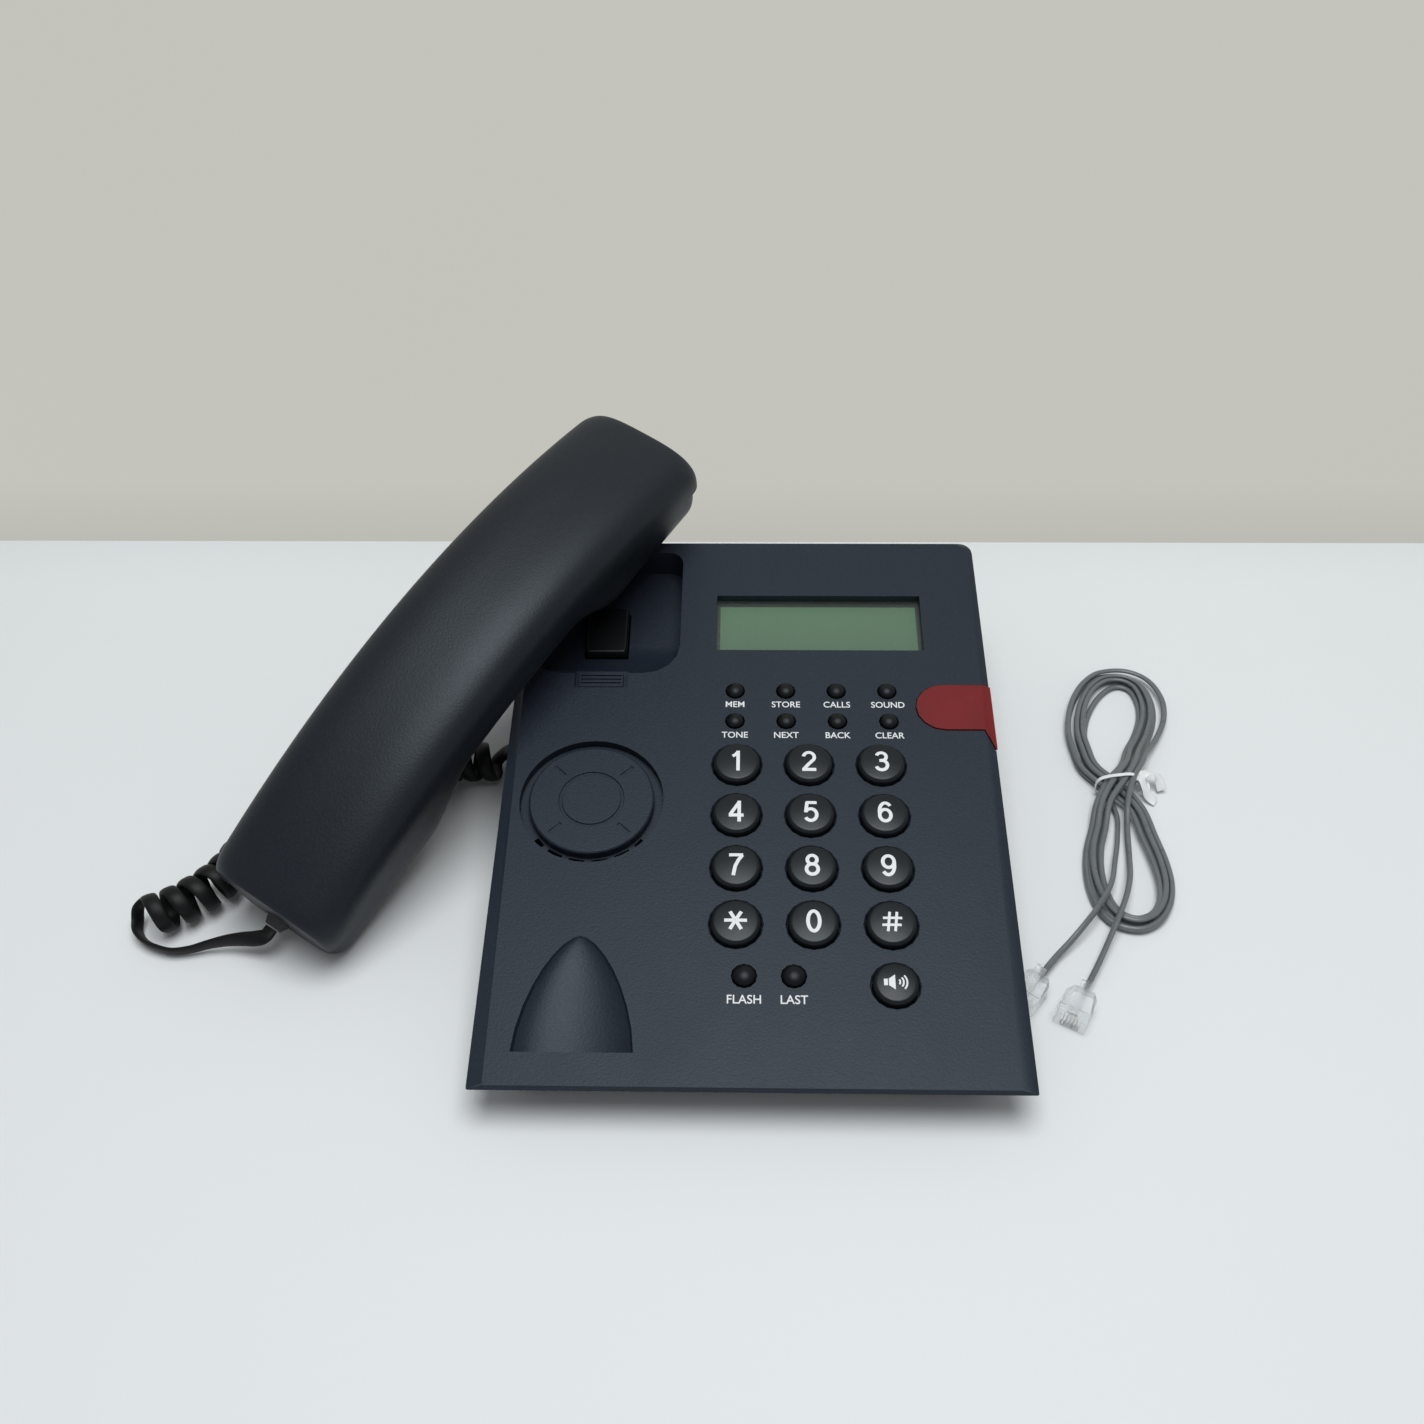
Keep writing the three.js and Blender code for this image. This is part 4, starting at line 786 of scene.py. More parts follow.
def joined(name: str, items: Sequence[Item]) -> Item:
    """Joins pieces into one that keeps each one's materials.

    Args:
        name: The joined piece's name.
        items: The pieces, with their materials, at the origin.

    Returns:
        The joined piece.
    """
    bm = bmesh.new()
    materials: list[bpy.types.Material] = []
    for item in items:
        start = len(bm.faces)
        bm.from_mesh(item.data)
        bm.faces.ensure_lookup_table()
        material = item.data.materials[0]
        if material not in materials:
            materials.append(material)
        for face in bm.faces[start:]:
            face.material_index = materials.index(material)
    mesh = bpy.data.meshes.new(name)
    bm.to_mesh(mesh)
    bm.free()
    for material in materials:
        mesh.materials.append(material)
    for item in items:
        bpy.data.objects.remove(item)
    item = linked(name, mesh)
    return item


def lettering(name: str, words: str, height: float, weight: float, squeeze: float) -> Item:
    """Thin printed lettering, centred at the origin and facing up.

    Args:
        name: The piece's name.
        words: What it says.
        height: Height of its capitals in metres.
        weight: How much the strokes are fattened, in metres.
        squeeze: Width against the plain letters.

    Returns:
        The lettering as a mesh.
    """
    curve = bpy.data.curves.new(name, "FONT")
    curve.body = words
    curve.align_x = "CENTER"
    curve.size = height / 0.7
    curve.offset = weight
    curve.extrude = 0.00004
    curve.resolution_u = 4
    written = linked(name, curve)
    bpy.context.view_layer.update()
    graph = bpy.context.evaluated_depsgraph_get()
    mesh = bpy.data.meshes.new_from_object(written.evaluated_get(graph), depsgraph=graph)
    bpy.data.objects.remove(written)
    item = linked(name, mesh)
    low = min(v.co.y for v in mesh.vertices)
    high = max(v.co.y for v in mesh.vertices)
    left = min(v.co.x for v in mesh.vertices)
    right = max(v.co.x for v in mesh.vertices)
    middle = Matrix.Translation((-(left + right) / 2, -(low + high) / 2, 0))
    return moved(item, Matrix.Diagonal((squeeze, 1, 1, 1)) @ middle)


def bow(middle: Flat, reach: Flat, start: float, stop: float) -> list[Flat]:
    """Points of an ellipse's arc.

    Args:
        middle: The ellipse's middle.
        reach: Its half width and half height.
        start: Angle of the first point in degrees.
        stop: Angle of the last point.

    Returns:
        The arc's points.
    """
    steps = max(4, round(abs(stop - start) / 12))
    angles = [math.radians(start + (stop - start) * i / steps) for i in range(steps + 1)]
    return [(middle[0] + reach[0] * math.cos(a), middle[1] + reach[1] * math.sin(a)) for a in angles]


def oval(middle: Flat, reach: Flat) -> tuple[list[Flat], list[Flat]]:
    """A closed ellipse as two strokes that overlap a little."""
    return bow(middle, reach, -8, 188), bow(middle, reach, 172, 368)


SIX = (*oval((0, -0.16), (0.225, 0.27)), [*bow((0.02, 0.02), (0.245, 0.41), 40, 180), (-0.225, -0.16)])
STROKES: dict[str, tuple[list[Flat], ...]] = {
    "0": oval((0, 0), (0.225, 0.43)),
    "1": ([(0.05, 0.5), (0.05, -0.5)], [(-0.18, 0.22), (-0.06, 0.29), (0.05, 0.45)]),
    "2": (
        [*bow((-0.01, 0.19), (0.225, 0.24), 172, -38), (-0.03, -0.17), (-0.24, -0.42)],
        [(-0.3, -0.43), (0.28, -0.43)],
    ),
    "3": (
        bow((-0.01, 0.225), (0.2, 0.205), 162, -95),
        bow((-0.01, -0.195), (0.235, 0.235), 95, -162),
        [(-0.1, 0.03), (0.02, 0.03)],
    ),
    "4": ([(0.11, 0.5), (0.11, -0.5)], [(0.12, 0.44), (-0.26, -0.18)], [(-0.31, -0.2), (0.29, -0.2)]),
    "5": (
        [(0.25, 0.43), (-0.18, 0.43)],
        [(-0.14, 0.46), (-0.2, -0.05)],
        bow((0, -0.155), (0.24, 0.275), 148, -150),
    ),
    "6": SIX,
    "7": ([(-0.28, 0.43), (0.28, 0.43)], [(0.25, 0.42), (0.1, 0.2), (-0.03, -0.08), (-0.11, -0.5)]),
    "8": (*oval((0, 0.225), (0.19, 0.205)), *oval((0, -0.2), (0.23, 0.23))),
    "9": tuple([(-x, -y) for x, y in stroke] for stroke in SIX),
    "#": (
        [(-0.08, 0.42), (-0.18, -0.42)], [(0.2, 0.42), (0.1, -0.42)],
        [(-0.35, 0.15), (0.39, 0.15)], [(-0.39, -0.15), (0.35, -0.15)],
    ),
}


def drawn_sign(name: str, sign: str, height: float, weight: float, thickness: float) -> Item:
    """A plain sign drawn with strokes of one width.

    Args:
        name: The piece's name.
        sign: Which sign.
        height: Its height in millimetres.
        weight: Width of its strokes against its height.
        thickness: Half the ink's thickness in millimetres.

    Returns:
        The sign, centred at the origin and facing up.
    """
    parts = []
    for i, stroke in enumerate(STROKES[sign]):
        points = [Vector((x * height, y * height)) for x, y in stroke]
        left, right = [], []
        for k, point in enumerate(points):
            way = (points[min(k + 1, len(points) - 1)] - points[max(k - 1, 0)]).normalized()
            aside = Vector((-way.y, way.x)) * (weight * height / 2)
            left.append(tuple(point + aside))
            right.append(tuple(point - aside))
        lift = thickness * (1 + 0.15 * i)
        parts.append(painted(slab(f"{name}_{i}", [*left, *reversed(right)], -lift, lift), INK))
    return joined(name, parts)


def finer(item: Item, longest: float) -> Item:
    """Divides a flat piece's long edges, so that it can follow a curved face.

    Args:
        item: The piece.
        longest: The length in metres past which an edge is divided.

    Returns:
        The same piece.
    """
    bm = bmesh.new()
    bm.from_mesh(item.data)
    for _ in range(4):
        bmesh.ops.triangulate(bm, faces=bm.faces)
        long = [side for side in bm.edges if side.calc_length() > longest]
        if not long:
            break
        bmesh.ops.subdivide_edges(bm, edges=long, cuts=1)
    bmesh.ops.triangulate(bm, faces=bm.faces)
    bm.to_mesh(item.data)
    bm.free()
    return item


def slab(name: str, outline: Sequence[Flat], low: float, high: float) -> Item:
    """A flat outline given a thickness.

    Args:
        name: The piece's name.
        outline: Corner points in millimetres.
        low: Its lower face in millimetres.
        high: Its upper face in millimetres.

    Returns:
        The piece at the origin.
    """
    bm = bmesh.new()
    face = bm.faces.new([bm.verts.new((x * MM, y * MM, low * MM)) for x, y in outline])
    grown = bmesh.ops.extrude_face_region(bm, geom=[face])
    lifted = [part for part in grown["geom"] if isinstance(part, bmesh.types.BMVert)]
    bmesh.ops.translate(bm, verts=lifted, vec=(0, 0, (high - low) * MM))
    return object_from(name, bm, Edge.CRISP)


# Geometry Nodes


@dataclass
class NodeTree:
    """A Geometry Nodes tree with named inputs, run once on one object."""

    name: str
    sizes: dict[str, float]
    group: bpy.types.NodeTree = field(init=False)
    entry: bpy.types.Node = field(init=False)

    def __post_init__(self) -> None:
        """Opens the group with its sockets."""
        self.group = bpy.data.node_groups.new(self.name, "GeometryNodeTree")
        face = self.group.interface
        face.new_socket("Geometry", in_out="INPUT", socket_type="NodeSocketGeometry")
        for size in self.sizes:
            whole = isinstance(self.sizes[size], int)
            kind = "NodeSocketInt" if whole else "NodeSocketFloat"
            face.new_socket(size, in_out="INPUT", socket_type=kind)
        face.new_socket("Geometry", in_out="OUTPUT", socket_type="NodeSocketGeometry")
        self.entry = self.group.nodes.new("NodeGroupInput")

    def add(
        self, kind: str, settings: Mapping[str, Any], links: Mapping[str | int, Any]
    ) -> bpy.types.Node:
        """Adds one node.

        Args:
            kind: Blender's name for the node type.
            settings: Properties that are set first.
            links: Input sockets by name or place, to sockets or constants.

        Returns:
            The node.
        """
        node = self.group.nodes.new(kind)
        for name, value in settings.items():
            setattr(node, name, value)
        for name, value in links.items():
            if isinstance(value, bpy.types.NodeSocket):
                self.group.links.new(value, node.inputs[name])
            else:
                node.inputs[name].default_value = value
        return node

    def run(self, item: Item, last: bpy.types.NodeSocket, finish: Any) -> Item:
        """Closes the tree, runs it on an object and keeps the plain mesh.

        Args:
            item: The object that the tree starts from.
            last: The geometry that the tree ends in.
            finish: The finish of what it makes.

        Returns:
            The object with the made mesh.
        """
        real = self.add("GeometryNodeRealizeInstances", {}, {0: last})
        paint = Paintshop.get(finish)
        links = {"Geometry": real.outputs[0], "Material": paint}
        coloured = self.add("GeometryNodeSetMaterial", {}, links)
        leave = self.group.nodes.new("NodeGroupOutput")
        self.group.links.new(coloured.outputs[0], leave.inputs[0])
        modifier = item.modifiers.new(self.name, "NODES")
        modifier.node_group = self.group
        for socket in self.group.interface.items_tree:
            if socket.in_out == "INPUT" and socket.name in self.sizes:
                modifier[socket.identifier] = self.sizes[socket.name]
        return applied(item)


@dataclass(frozen=True)
class Section:
    """A flat cord's or strip's section, in metres."""

    wide: float
    thick: float
    around: int


def along_route(points: Sequence[Vector], i: int) -> Vector:
    """Direction of a route at one of its points."""
    return (points[min(i + 1, len(points) - 1)] - points[max(i - 1, 0)]).normalized()


def facings(points: Sequence[Vector], sides: Sequence[Vector]) -> list[Vector]:
    """Which way a flat section's face looks, from the directions across it.

    Args:
        points: The route.
        sides: The direction across the section at each point.

    Returns:
        The face's direction at each point.
    """
    faces = [along_route(points, i).cross(side) for i, side in enumerate(sides)]
    return [face.normalized() if face.length > 1e-6 else UP for face in faces]


def sleeve(
    name: str, points: Sequence[Vector], finish: Any, section: Section, sides: Sequence[Vector]
) -> Item:
    """A cord's skin along its route.

    Args:
        name: The piece's name.
        points: The route in metres.
        finish: The cord's finish.
        section: The cord's section.
        sides: The direction across the section at each point.

    Returns:
        The cord.
    """
    mesh = bpy.data.meshes.new(name)
    mesh.from_pydata([tuple(p) for p in points], [(i, i + 1) for i in range(len(points) - 1)], [])
    layer_name = "section_face"
    layer = mesh.attributes.new(layer_name, "FLOAT_VECTOR", "POINT")
    layer.data.foreach_set("vector", [value for face in facings(points, sides) for value in face])
    item = linked(name, mesh)
    sizes = {"Width": section.wide, "Thickness": section.thick, "Around": section.around}
    tree = NodeTree(f"{name}_sleeve", sizes)
    entry = tree.entry.outputs
    curve = tree.add("GeometryNodeMeshToCurve", {}, {0: entry[0]})
    kind = {"data_type": "FLOAT_VECTOR"}
    facing = tree.add("GeometryNodeInputNamedAttribute", kind, {"Name": layer_name})
    free = tree.add("GeometryNodeSetCurveNormal", {"mode": "FREE"}, {0: curve.outputs[0]})
    for socket in free.inputs:
        if socket.type == "VECTOR":
            tree.group.links.new(facing.outputs[0], socket)
    circle = {"Resolution": entry["Around"], "Radius": 0.5}
    ring = tree.add("GeometryNodeCurvePrimitiveCircle", {}, circle)
    spread = tree.add("ShaderNodeCombineXYZ", {}, {0: entry["Thickness"], 1: entry["Width"], 2: 1.0})
    shape = tree.add("GeometryNodeTransform", {}, {0: ring.outputs[0], "Scale": spread.outputs[0]})
    swept = {0: free.outputs[0], 1: shape.outputs[0], "Fill Caps": True}
    skin = tree.add("GeometryNodeCurveToMesh", {}, swept)
    even_skin = tree.add("GeometryNodeSetShadeSmooth", {}, {0: skin.outputs[0]})
    tree.run(item, even_skin.outputs[0], finish)
    bm = bmesh.new()
    bm.from_mesh(item.data)
    bmesh.ops.recalc_face_normals(bm, faces=bm.faces)
    bm.to_mesh(item.data)
    bm.free()
    return item


def in_a_row(name: str, stamp: Item, count: int, pitch: float, finish: Any) -> Item:
    """Copies of a small piece in a row across Y, centred on it.

    Args:
        name: The row's name.
        stamp: The small piece at the origin, which is used up.
        count: How many there are.
        pitch: From one to the next, in metres.
        finish: Their finish.

    Returns:
        The row as one piece.
    """
    tree = NodeTree(f"{name}_row", {"Count": count, "Pitch": pitch})
    entry = tree.entry.outputs
    last = tree.add("ShaderNodeMath", {"operation": "SUBTRACT"}, {0: entry["Count"], 1: 1.0})
    half = tree.add("ShaderNodeMath", {"operation": "MULTIPLY"}, {0: last.outputs[0], 1: -0.5})
    start = tree.add("ShaderNodeMath", {"operation": "MULTIPLY"}, {0: half.outputs[0], 1: entry["Pitch"]})
    begin = tree.add("ShaderNodeCombineXYZ", {}, {1: start.outputs[0]})
    step = tree.add("ShaderNodeCombineXYZ", {}, {1: entry["Pitch"]})
    places = tree.add(
        "GeometryNodeMeshLine",
        {},
        {"Count": entry["Count"], "Start Location": begin.outputs[0], "Offset": step.outputs[0]},
    )
    copies = tree.add("GeometryNodeInstanceOnPoints", {}, {"Points": places.outputs[0], "Instance": entry[0]})
    stamp.name = name
    return tree.run(stamp, copies.outputs[0], finish)


# The telephone


@dataclass
class Studio:
    """Pale table and wall, soft light from above and the camera at the photograph's place."""

    eye: Point = (-0.0023, -0.3103, 0.3541)
    pitch: float = 43.19
    yaw: float = 1.78
    roll: float = -0.96
    lens: float = 36.05
    wall_place: float = 0.170
    wall_height: float = 0.3
    reach: float = 3.0
    lamp_place: Point = (0.05, -0.15, 1.2)
    lamp_size: float = 0.85
    lamp_power: float = 11.5
    sky: float = 0.33

    def build(self) -> None:
        """Makes the floor, the wall, the lamp and the camera."""
        far, back, top = self.reach, self.wall_place, self.wall_height
        floor = [(-far, -far, 0), (far, -far, 0), (far, far, 0), (-far, far, 0)]
        wall = [(-far, back, -0.01), (far, back, -0.01), (far, back, top), (-far, back, top)]
        self.sheet("table_top", floor, TABLE_PAINT)
        self.sheet("wall_behind", wall, WALL_PAINT)
        self.lamp("lamp_above", self.lamp_place, self.lamp_size, self.lamp_power)
        world = bpy.data.worlds.new("soft_sky")
        world.use_nodes = True
        background = world.node_tree.nodes["Background"]
        background.inputs["Color"].default_value = (0.97, 0.98, 1.0, 1)
        background.inputs["Strength"].default_value = self.sky
        bpy.context.scene.world = world
        bpy.context.scene.view_settings.view_transform = "Standard"
        self.camera()

    def sheet(self, name: str, corners: Sequence[Point], finish: Any) -> None:
        """One flat stage surface."""
        mesh = bpy.data.meshes.new(name)
        mesh.from_pydata(corners, [], [tuple(range(len(corners)))])
        item = linked(name, mesh)
        painted(item, finish)

    def lamp(self, name: str, place: Point, size: float, power: float) -> None:
        """One soft area lamp that faces the object."""
        light = bpy.data.lights.new(name, "AREA")
        light.shape = "DISK"
        light.size = size
        light.energy = power
        light.color = (0.97, 0.99, 1.0)
        item = linked(name, light)
        item.location = place
        item.rotation_euler = Vector(place).to_track_quat("Z", "Y").to_euler()

    def camera(self) -> None:
        """The camera, from its measured pitch, yaw and roll."""
        pitch, yaw, roll = (math.radians(a) for a in (self.pitch, self.yaw, self.roll))
        ahead = Vector((-math.sin(yaw) * math.cos(pitch), math.cos(yaw) * math.cos(pitch), -math.sin(pitch)))
        right = Vector((math.cos(yaw), math.sin(yaw), 0))
        upward = right.cross(ahead)
        across = math.cos(roll) * right + math.sin(roll) * upward
        above = -math.sin(roll) * right + math.cos(roll) * upward
        lens = bpy.data.cameras.new("camera")
        lens.lens = self.lens
        lens.sensor_width = 36
        lens.sensor_fit = "HORIZONTAL"
        lens.clip_start = 0.01
        eye = linked("camera", lens)
        turn = Matrix((across, above, -ahead)).transposed().to_4x4()
        eye.matrix_world = Matrix.Translation(self.eye) @ turn
        bpy.context.scene.camera = eye


@dataclass
class Housing:
    """The base's top cover and lower case with what is fixed to them."""

    edge: float = 0.00022
    foot_edge: float = 0.00025

    def build(self) -> None:
        """Dresses the housing pieces."""
        refined("top_cover", "base_cover", self.edge, "root", "housing", HOUSING)
        refined("bottom_case", "base_tray", self.edge, "root", "housing", HOUSING)
        for corner in ("front_left", "front_right", "rear_left", "rear_right"):
            foot = f"foot_{corner}"
            refined(foot, f"rubber_{foot}", self.foot_edge, "root", "rubber_parts", FOOT_RUBBER)
            dress(f"case_screw_{corner}", STEEL)
        for node in ("handset_jack", "line_jack", "hook_switch"):
            dress(node, SOCKET_PLASTIC)
        dress("main_board", BOARD)
        dress("key_mat", FOOT_RUBBER)
        dress("speaker", DARK_METAL)


@dataclass
class Display:
    """The display under its clear window."""

    centre_x: float = 22.8
    centre_y: float = 165.0
    half_width: float = 34.6
    half_height: float = 12.0
    border: float = 1.2
    depth: float = 4.6

    def build(self) -> None:
        """Dresses the window and the display."""
        middle = PANEL @ Vector((self.centre_x * MM, self.centre_y * MM, -self.depth * MM))
        crystal = Crystal(
            "display_leaf",
            srgb(76, 112, 82),
            srgb(30, 36, 33),
            tuple(middle),
            (self.half_width - self.border) * MM,
            (self.half_height - self.border) * MM,
            SLOPE,
        )
        refined("lcd_module", "display_module", 0.0, "root", "display", crystal)
        refined("lcd_lens", "display_window", 0.0, "root", "window", WINDOW_CLEAR)


@dataclass
class KeyPlan:
    """One push button: its place on the panel and its sizes in millimetres."""

    name: str
    x: float
    y: float
    radius: float
    proud: float
    legend: str


@dataclass
class KeyField:
    """All push buttons, with digits on the large ones and words printed under the small ones."""

    flange_top: float = -2.8
    flange_thickness: float = 1.3
    flange_width: float = 1.15
    shoulder: float = 0.85
    crown: float = 0.45
    crown_steps: int = 8
    digit_height: float = 7.5
    digit_weight: float = 0.145
    hash_weight: float = 0.105
    star_reach: float = 3.3
    star_width: float = 0.52
    ink_height: float = 0.04
    word_height: float = 0.0023
    word_drop: float = 5.5
    wide_word_drop: float = 7.2
    word_weight: float = 0.00003
    word_squeeze: float = 0.95
    word_lift: float = 0.00005
    wide_word: float = 1.15
    small_radius: float = 2.8
    dial_place: Flat = (18.05, 50.2)
    dial_pitch: Flat = (22.6, 18.75)
    small_place: Flat = (-5.3, 123.5)
    small_pitch: Flat = (16.45, 12.2)
    dome_steps: int = 14
    dial: tuple[str, ...] = ("star", "0", "hash", "7", "8", "9", "4", "5", "6", "1", "2", "3")
    words: tuple[tuple[str, str], ...] = (
        ("ring", "TONE"), ("up", "NEXT"), ("down", "BACK"), ("delete", "CLEAR"),
        ("memory", "MEM"), ("set", "STORE"), ("out", "CALLS"), ("volume", "SOUND"),
    )

    def plans(self) -> list[KeyPlan]:
        """Where every button is."""
        (x, y), (dx, dy) = self.dial_place, self.dial_pitch
        keys = [
            KeyPlan(name, x + (i % 3 - 1) * dx, y + (i // 3) * dy, 7.35, 2.4, name)
            for i, name in enumerate(self.dial)
        ]
        keys.append(KeyPlan("speaker", 40.7, 31.1, 6.5, 2.4, "speaker"))
        return keys

    def small_plans(self) -> list[KeyPlan]:
        """Where the small domed buttons are."""
        (x, y), (dx, dy) = self.small_place, self.small_pitch
        keys = [
            KeyPlan(name, x + (i % 4) * dx, y + (i // 4) * dy, self.small_radius, 1.9, word)
            for i, (name, word) in enumerate(self.words)
        ]
        keys.append(KeyPlan("flash", -2.05, 33.7, 3.35, 2.2, "FLASH"))
        keys.append(KeyPlan("redial", 12.1, 33.7, 3.35, 2.2, "LAST"))
        return keys

    def build(self) -> None:
        """Makes every button and its legend."""
        for plan in self.plans():
            self.large(plan)
        for plan in self.small_plans():
            self.small(plan)
        self.print_words()

    def seat(self, plan: KeyPlan) -> Matrix:
        """Placement of a button on the panel."""
        return PANEL @ Matrix.Translation((plan.x * MM, plan.y * MM, 0))

    def large(self, plan: KeyPlan) -> None:
        """A flat-topped button with its legend."""
        low = self.flange_top - self.flange_thickness
        rim = plan.radius - self.shoulder
        crown = [rim * (1 - k / self.crown_steps) for k in range(1, self.crown_steps + 1)]
        profile = rounded_profile([
            (0, low, 0),
            (plan.radius + self.flange_width, low, 0.2),
            (plan.radius + self.flange_width, self.flange_top, 0.2),
            (plan.radius, self.flange_top, 0.1),
            (plan.radius, self.top_at(plan, rim) - self.shoulder, 0.5),
            (rim, self.top_at(plan, rim), 0.35),
            *((reach, self.top_at(plan, reach), 0) for reach in crown),
        ])
        cap = painted(turned(f"button_{plan.name}", profile, Segment.KEY), KEY_PLASTIC)
        legend = finer(self.legend(plan), MM)
        for vertex in legend.data.vertices:
            vertex.co.z += self.top_at(plan, math.hypot(vertex.co.x, vertex.co.y) / MM) * MM
        piece = joined(f"key_cap_{plan.name}", [cap, painted(legend, INK)])
        moved(piece, self.seat(plan))
        hand_over(piece, f"key_{plan.name}", "keys", None, f"key_{plan.name}")

    def top_at(self, plan: KeyPlan, reach: float) -> float:
        """Height of a large button's crowned top at a distance from its middle."""
        return plan.proud - self.crown * min(1.0, reach / (plan.radius - self.shoulder)) ** 2

    def legend(self, plan: KeyPlan) -> Item:
        """The digit or sign on a large button."""
        name = f"legend_{plan.name}"
        if plan.legend == "star":
            return self.star(name)
        if plan.legend == "speaker":
            return self.loudspeaker(name)
        sign = "#" if plan.legend == "hash" else plan.legend
        weight = self.hash_weight if plan.legend == "hash" else self.digit_weight
        return drawn_sign(name, sign, self.digit_height, weight, self.ink_height)

    def star(self, name: str) -> Item:
        """Six-armed star sign."""
        w, r, high = self.star_width, self.star_reach, self.ink_height
        arms = []
        for i in range(3):
            arm = slab(f"{name}_{i}", [(-w, -r), (w, -r), (w, r), (-w, r)], -high, high)
            turn = Matrix.Rotation((i + 0.5) * math.pi / 3, 4, "Z")
            arms.append(painted(moved(arm, turn), INK))
        return joined(name, arms)

    def loudspeaker(self, name: str) -> Item:
        """Plain loudspeaker sign with three sound arcs."""
        low, high = -self.ink_height, self.ink_height
        box = slab(name + "_box", [(-3.5, -1.0), (-2.4, -1.0), (-2.4, 1.0), (-3.5, 1.0)], low, high)
        horn = slab(name + "_horn", [(-2.1, -1.0), (-0.3, -2.3), (-0.3, 2.3), (-2.1, 1.0)], low, high)
        parts = [box, horn]
        sweep, steps, thick = 42, 12, 0.5
        angles = [math.radians(sweep * (2 * i / steps - 1)) for i in range(steps + 1)]
        for i, radius in enumerate((1.3, 2.3, 3.3)):
            outer = [(radius * math.cos(a), radius * math.sin(a)) for a in angles]
            inside = radius - thick
            inner = [(inside * math.cos(a), inside * math.sin(a)) for a in reversed(angles)]
            parts.append(slab(f"{name}_arc{i}", [*outer, *inner], low, high))
        return joined(name, [painted(part, INK) for part in parts])

    def small(self, plan: KeyPlan) -> None:
        """A small domed button."""
        low = self.flange_top - self.flange_thickness
        dome = [
            (plan.radius * math.cos(a), plan.proud * math.sin(a))
            for a in (math.pi / 2 * i / self.dome_steps for i in range(self.dome_steps + 1))
        ]
        profile = [
            (0, low),
            (plan.radius + self.flange_width, low),
            (plan.radius + self.flange_width, self.flange_top),
            (plan.radius, self.flange_top),
            *dome[:-1],
            (0, plan.proud),
        ]
        cap = turned(f"key_cap_{plan.name}", profile, Segment.DOME)
        moved(cap, self.seat(plan))
        hand_over(cap, f"key_{plan.name}", "keys", BUTTON_PLASTIC, f"key_{plan.name}")

    def print_words(self) -> None:
        """Prints the words under the small buttons as one piece on the cover."""
        parts = []
        for plan in self.small_plans():
            small = plan.radius == self.small_radius
            drop = self.word_drop if small else self.wide_word_drop
            height = self.word_height * (1 if small else self.wide_word)
            name = f"word_{plan.name}"
            word = lettering(name, plan.legend, height, self.word_weight, self.word_squeeze)
            place = (plan.x * MM, (plan.y - drop) * MM, self.word_lift)
            moved(word, PANEL @ Matrix.Translation(place))
            parts.append(painted(word, INK))
        words = joined("panel_words", parts)
        hand_over(words, "root", "housing", None)


@dataclass
class Cradle:
    """Lamp lens, loudspeaker cap and well, hook plunger and retaining tab, sizes in millimetres."""

    well: Flat = (-49.4, 93.0)
    well_inner: float = 19.0
    well_outer: float = 22.2
    well_floor: float = -3.0
    ring_sunk: float = 0.1
    ring_proud: float = 0.12
    open_angle: float = 52.0
    lens_edge: float = 0.00018
    fine_edge: float = 0.00012
    plunger_edge: float = 0.0003

    def close_slots(self) -> None:
        """Lays a thin ring in the well that leaves only the front slots open, as in the photograph."""
        sweep = 360 - 2 * self.open_angle
        start = -90 + self.open_angle
        outer = bow((0, 0), (self.well_outer, self.well_outer), start, start + sweep)
        inner = bow((0, 0), (self.well_inner, self.well_inner), start + sweep, start)
        low, high = self.well_floor - self.ring_sunk, self.well_floor + self.ring_proud
        ring = slab("well_ring", [*outer, *inner], low, high)
        moved(ring, PANEL @ Matrix.Translation((self.well[0] * MM, self.well[1] * MM, 0)))
        hand_over(ring, "root", "housing", HOUSING)

    def build(self) -> None:
        """Dresses the small fittings of the panel."""
        self.close_slots()
        refined("lamp_lens", "message_lamp", self.lens_edge, "root", "lamp", LAMP)
        refined("speaker_cap", "loudspeaker_cap", self.fine_edge, "root", "housing", HOUSING)
        plunger, tab = "hook_plunger", "retaining_tab"
        refined(plunger, "hook_button", self.plunger_edge, plunger, "keys", BUTTON_PLASTIC)
        refined(tab, "handset_tab", self.fine_edge, tab, "housing", HOUSING)


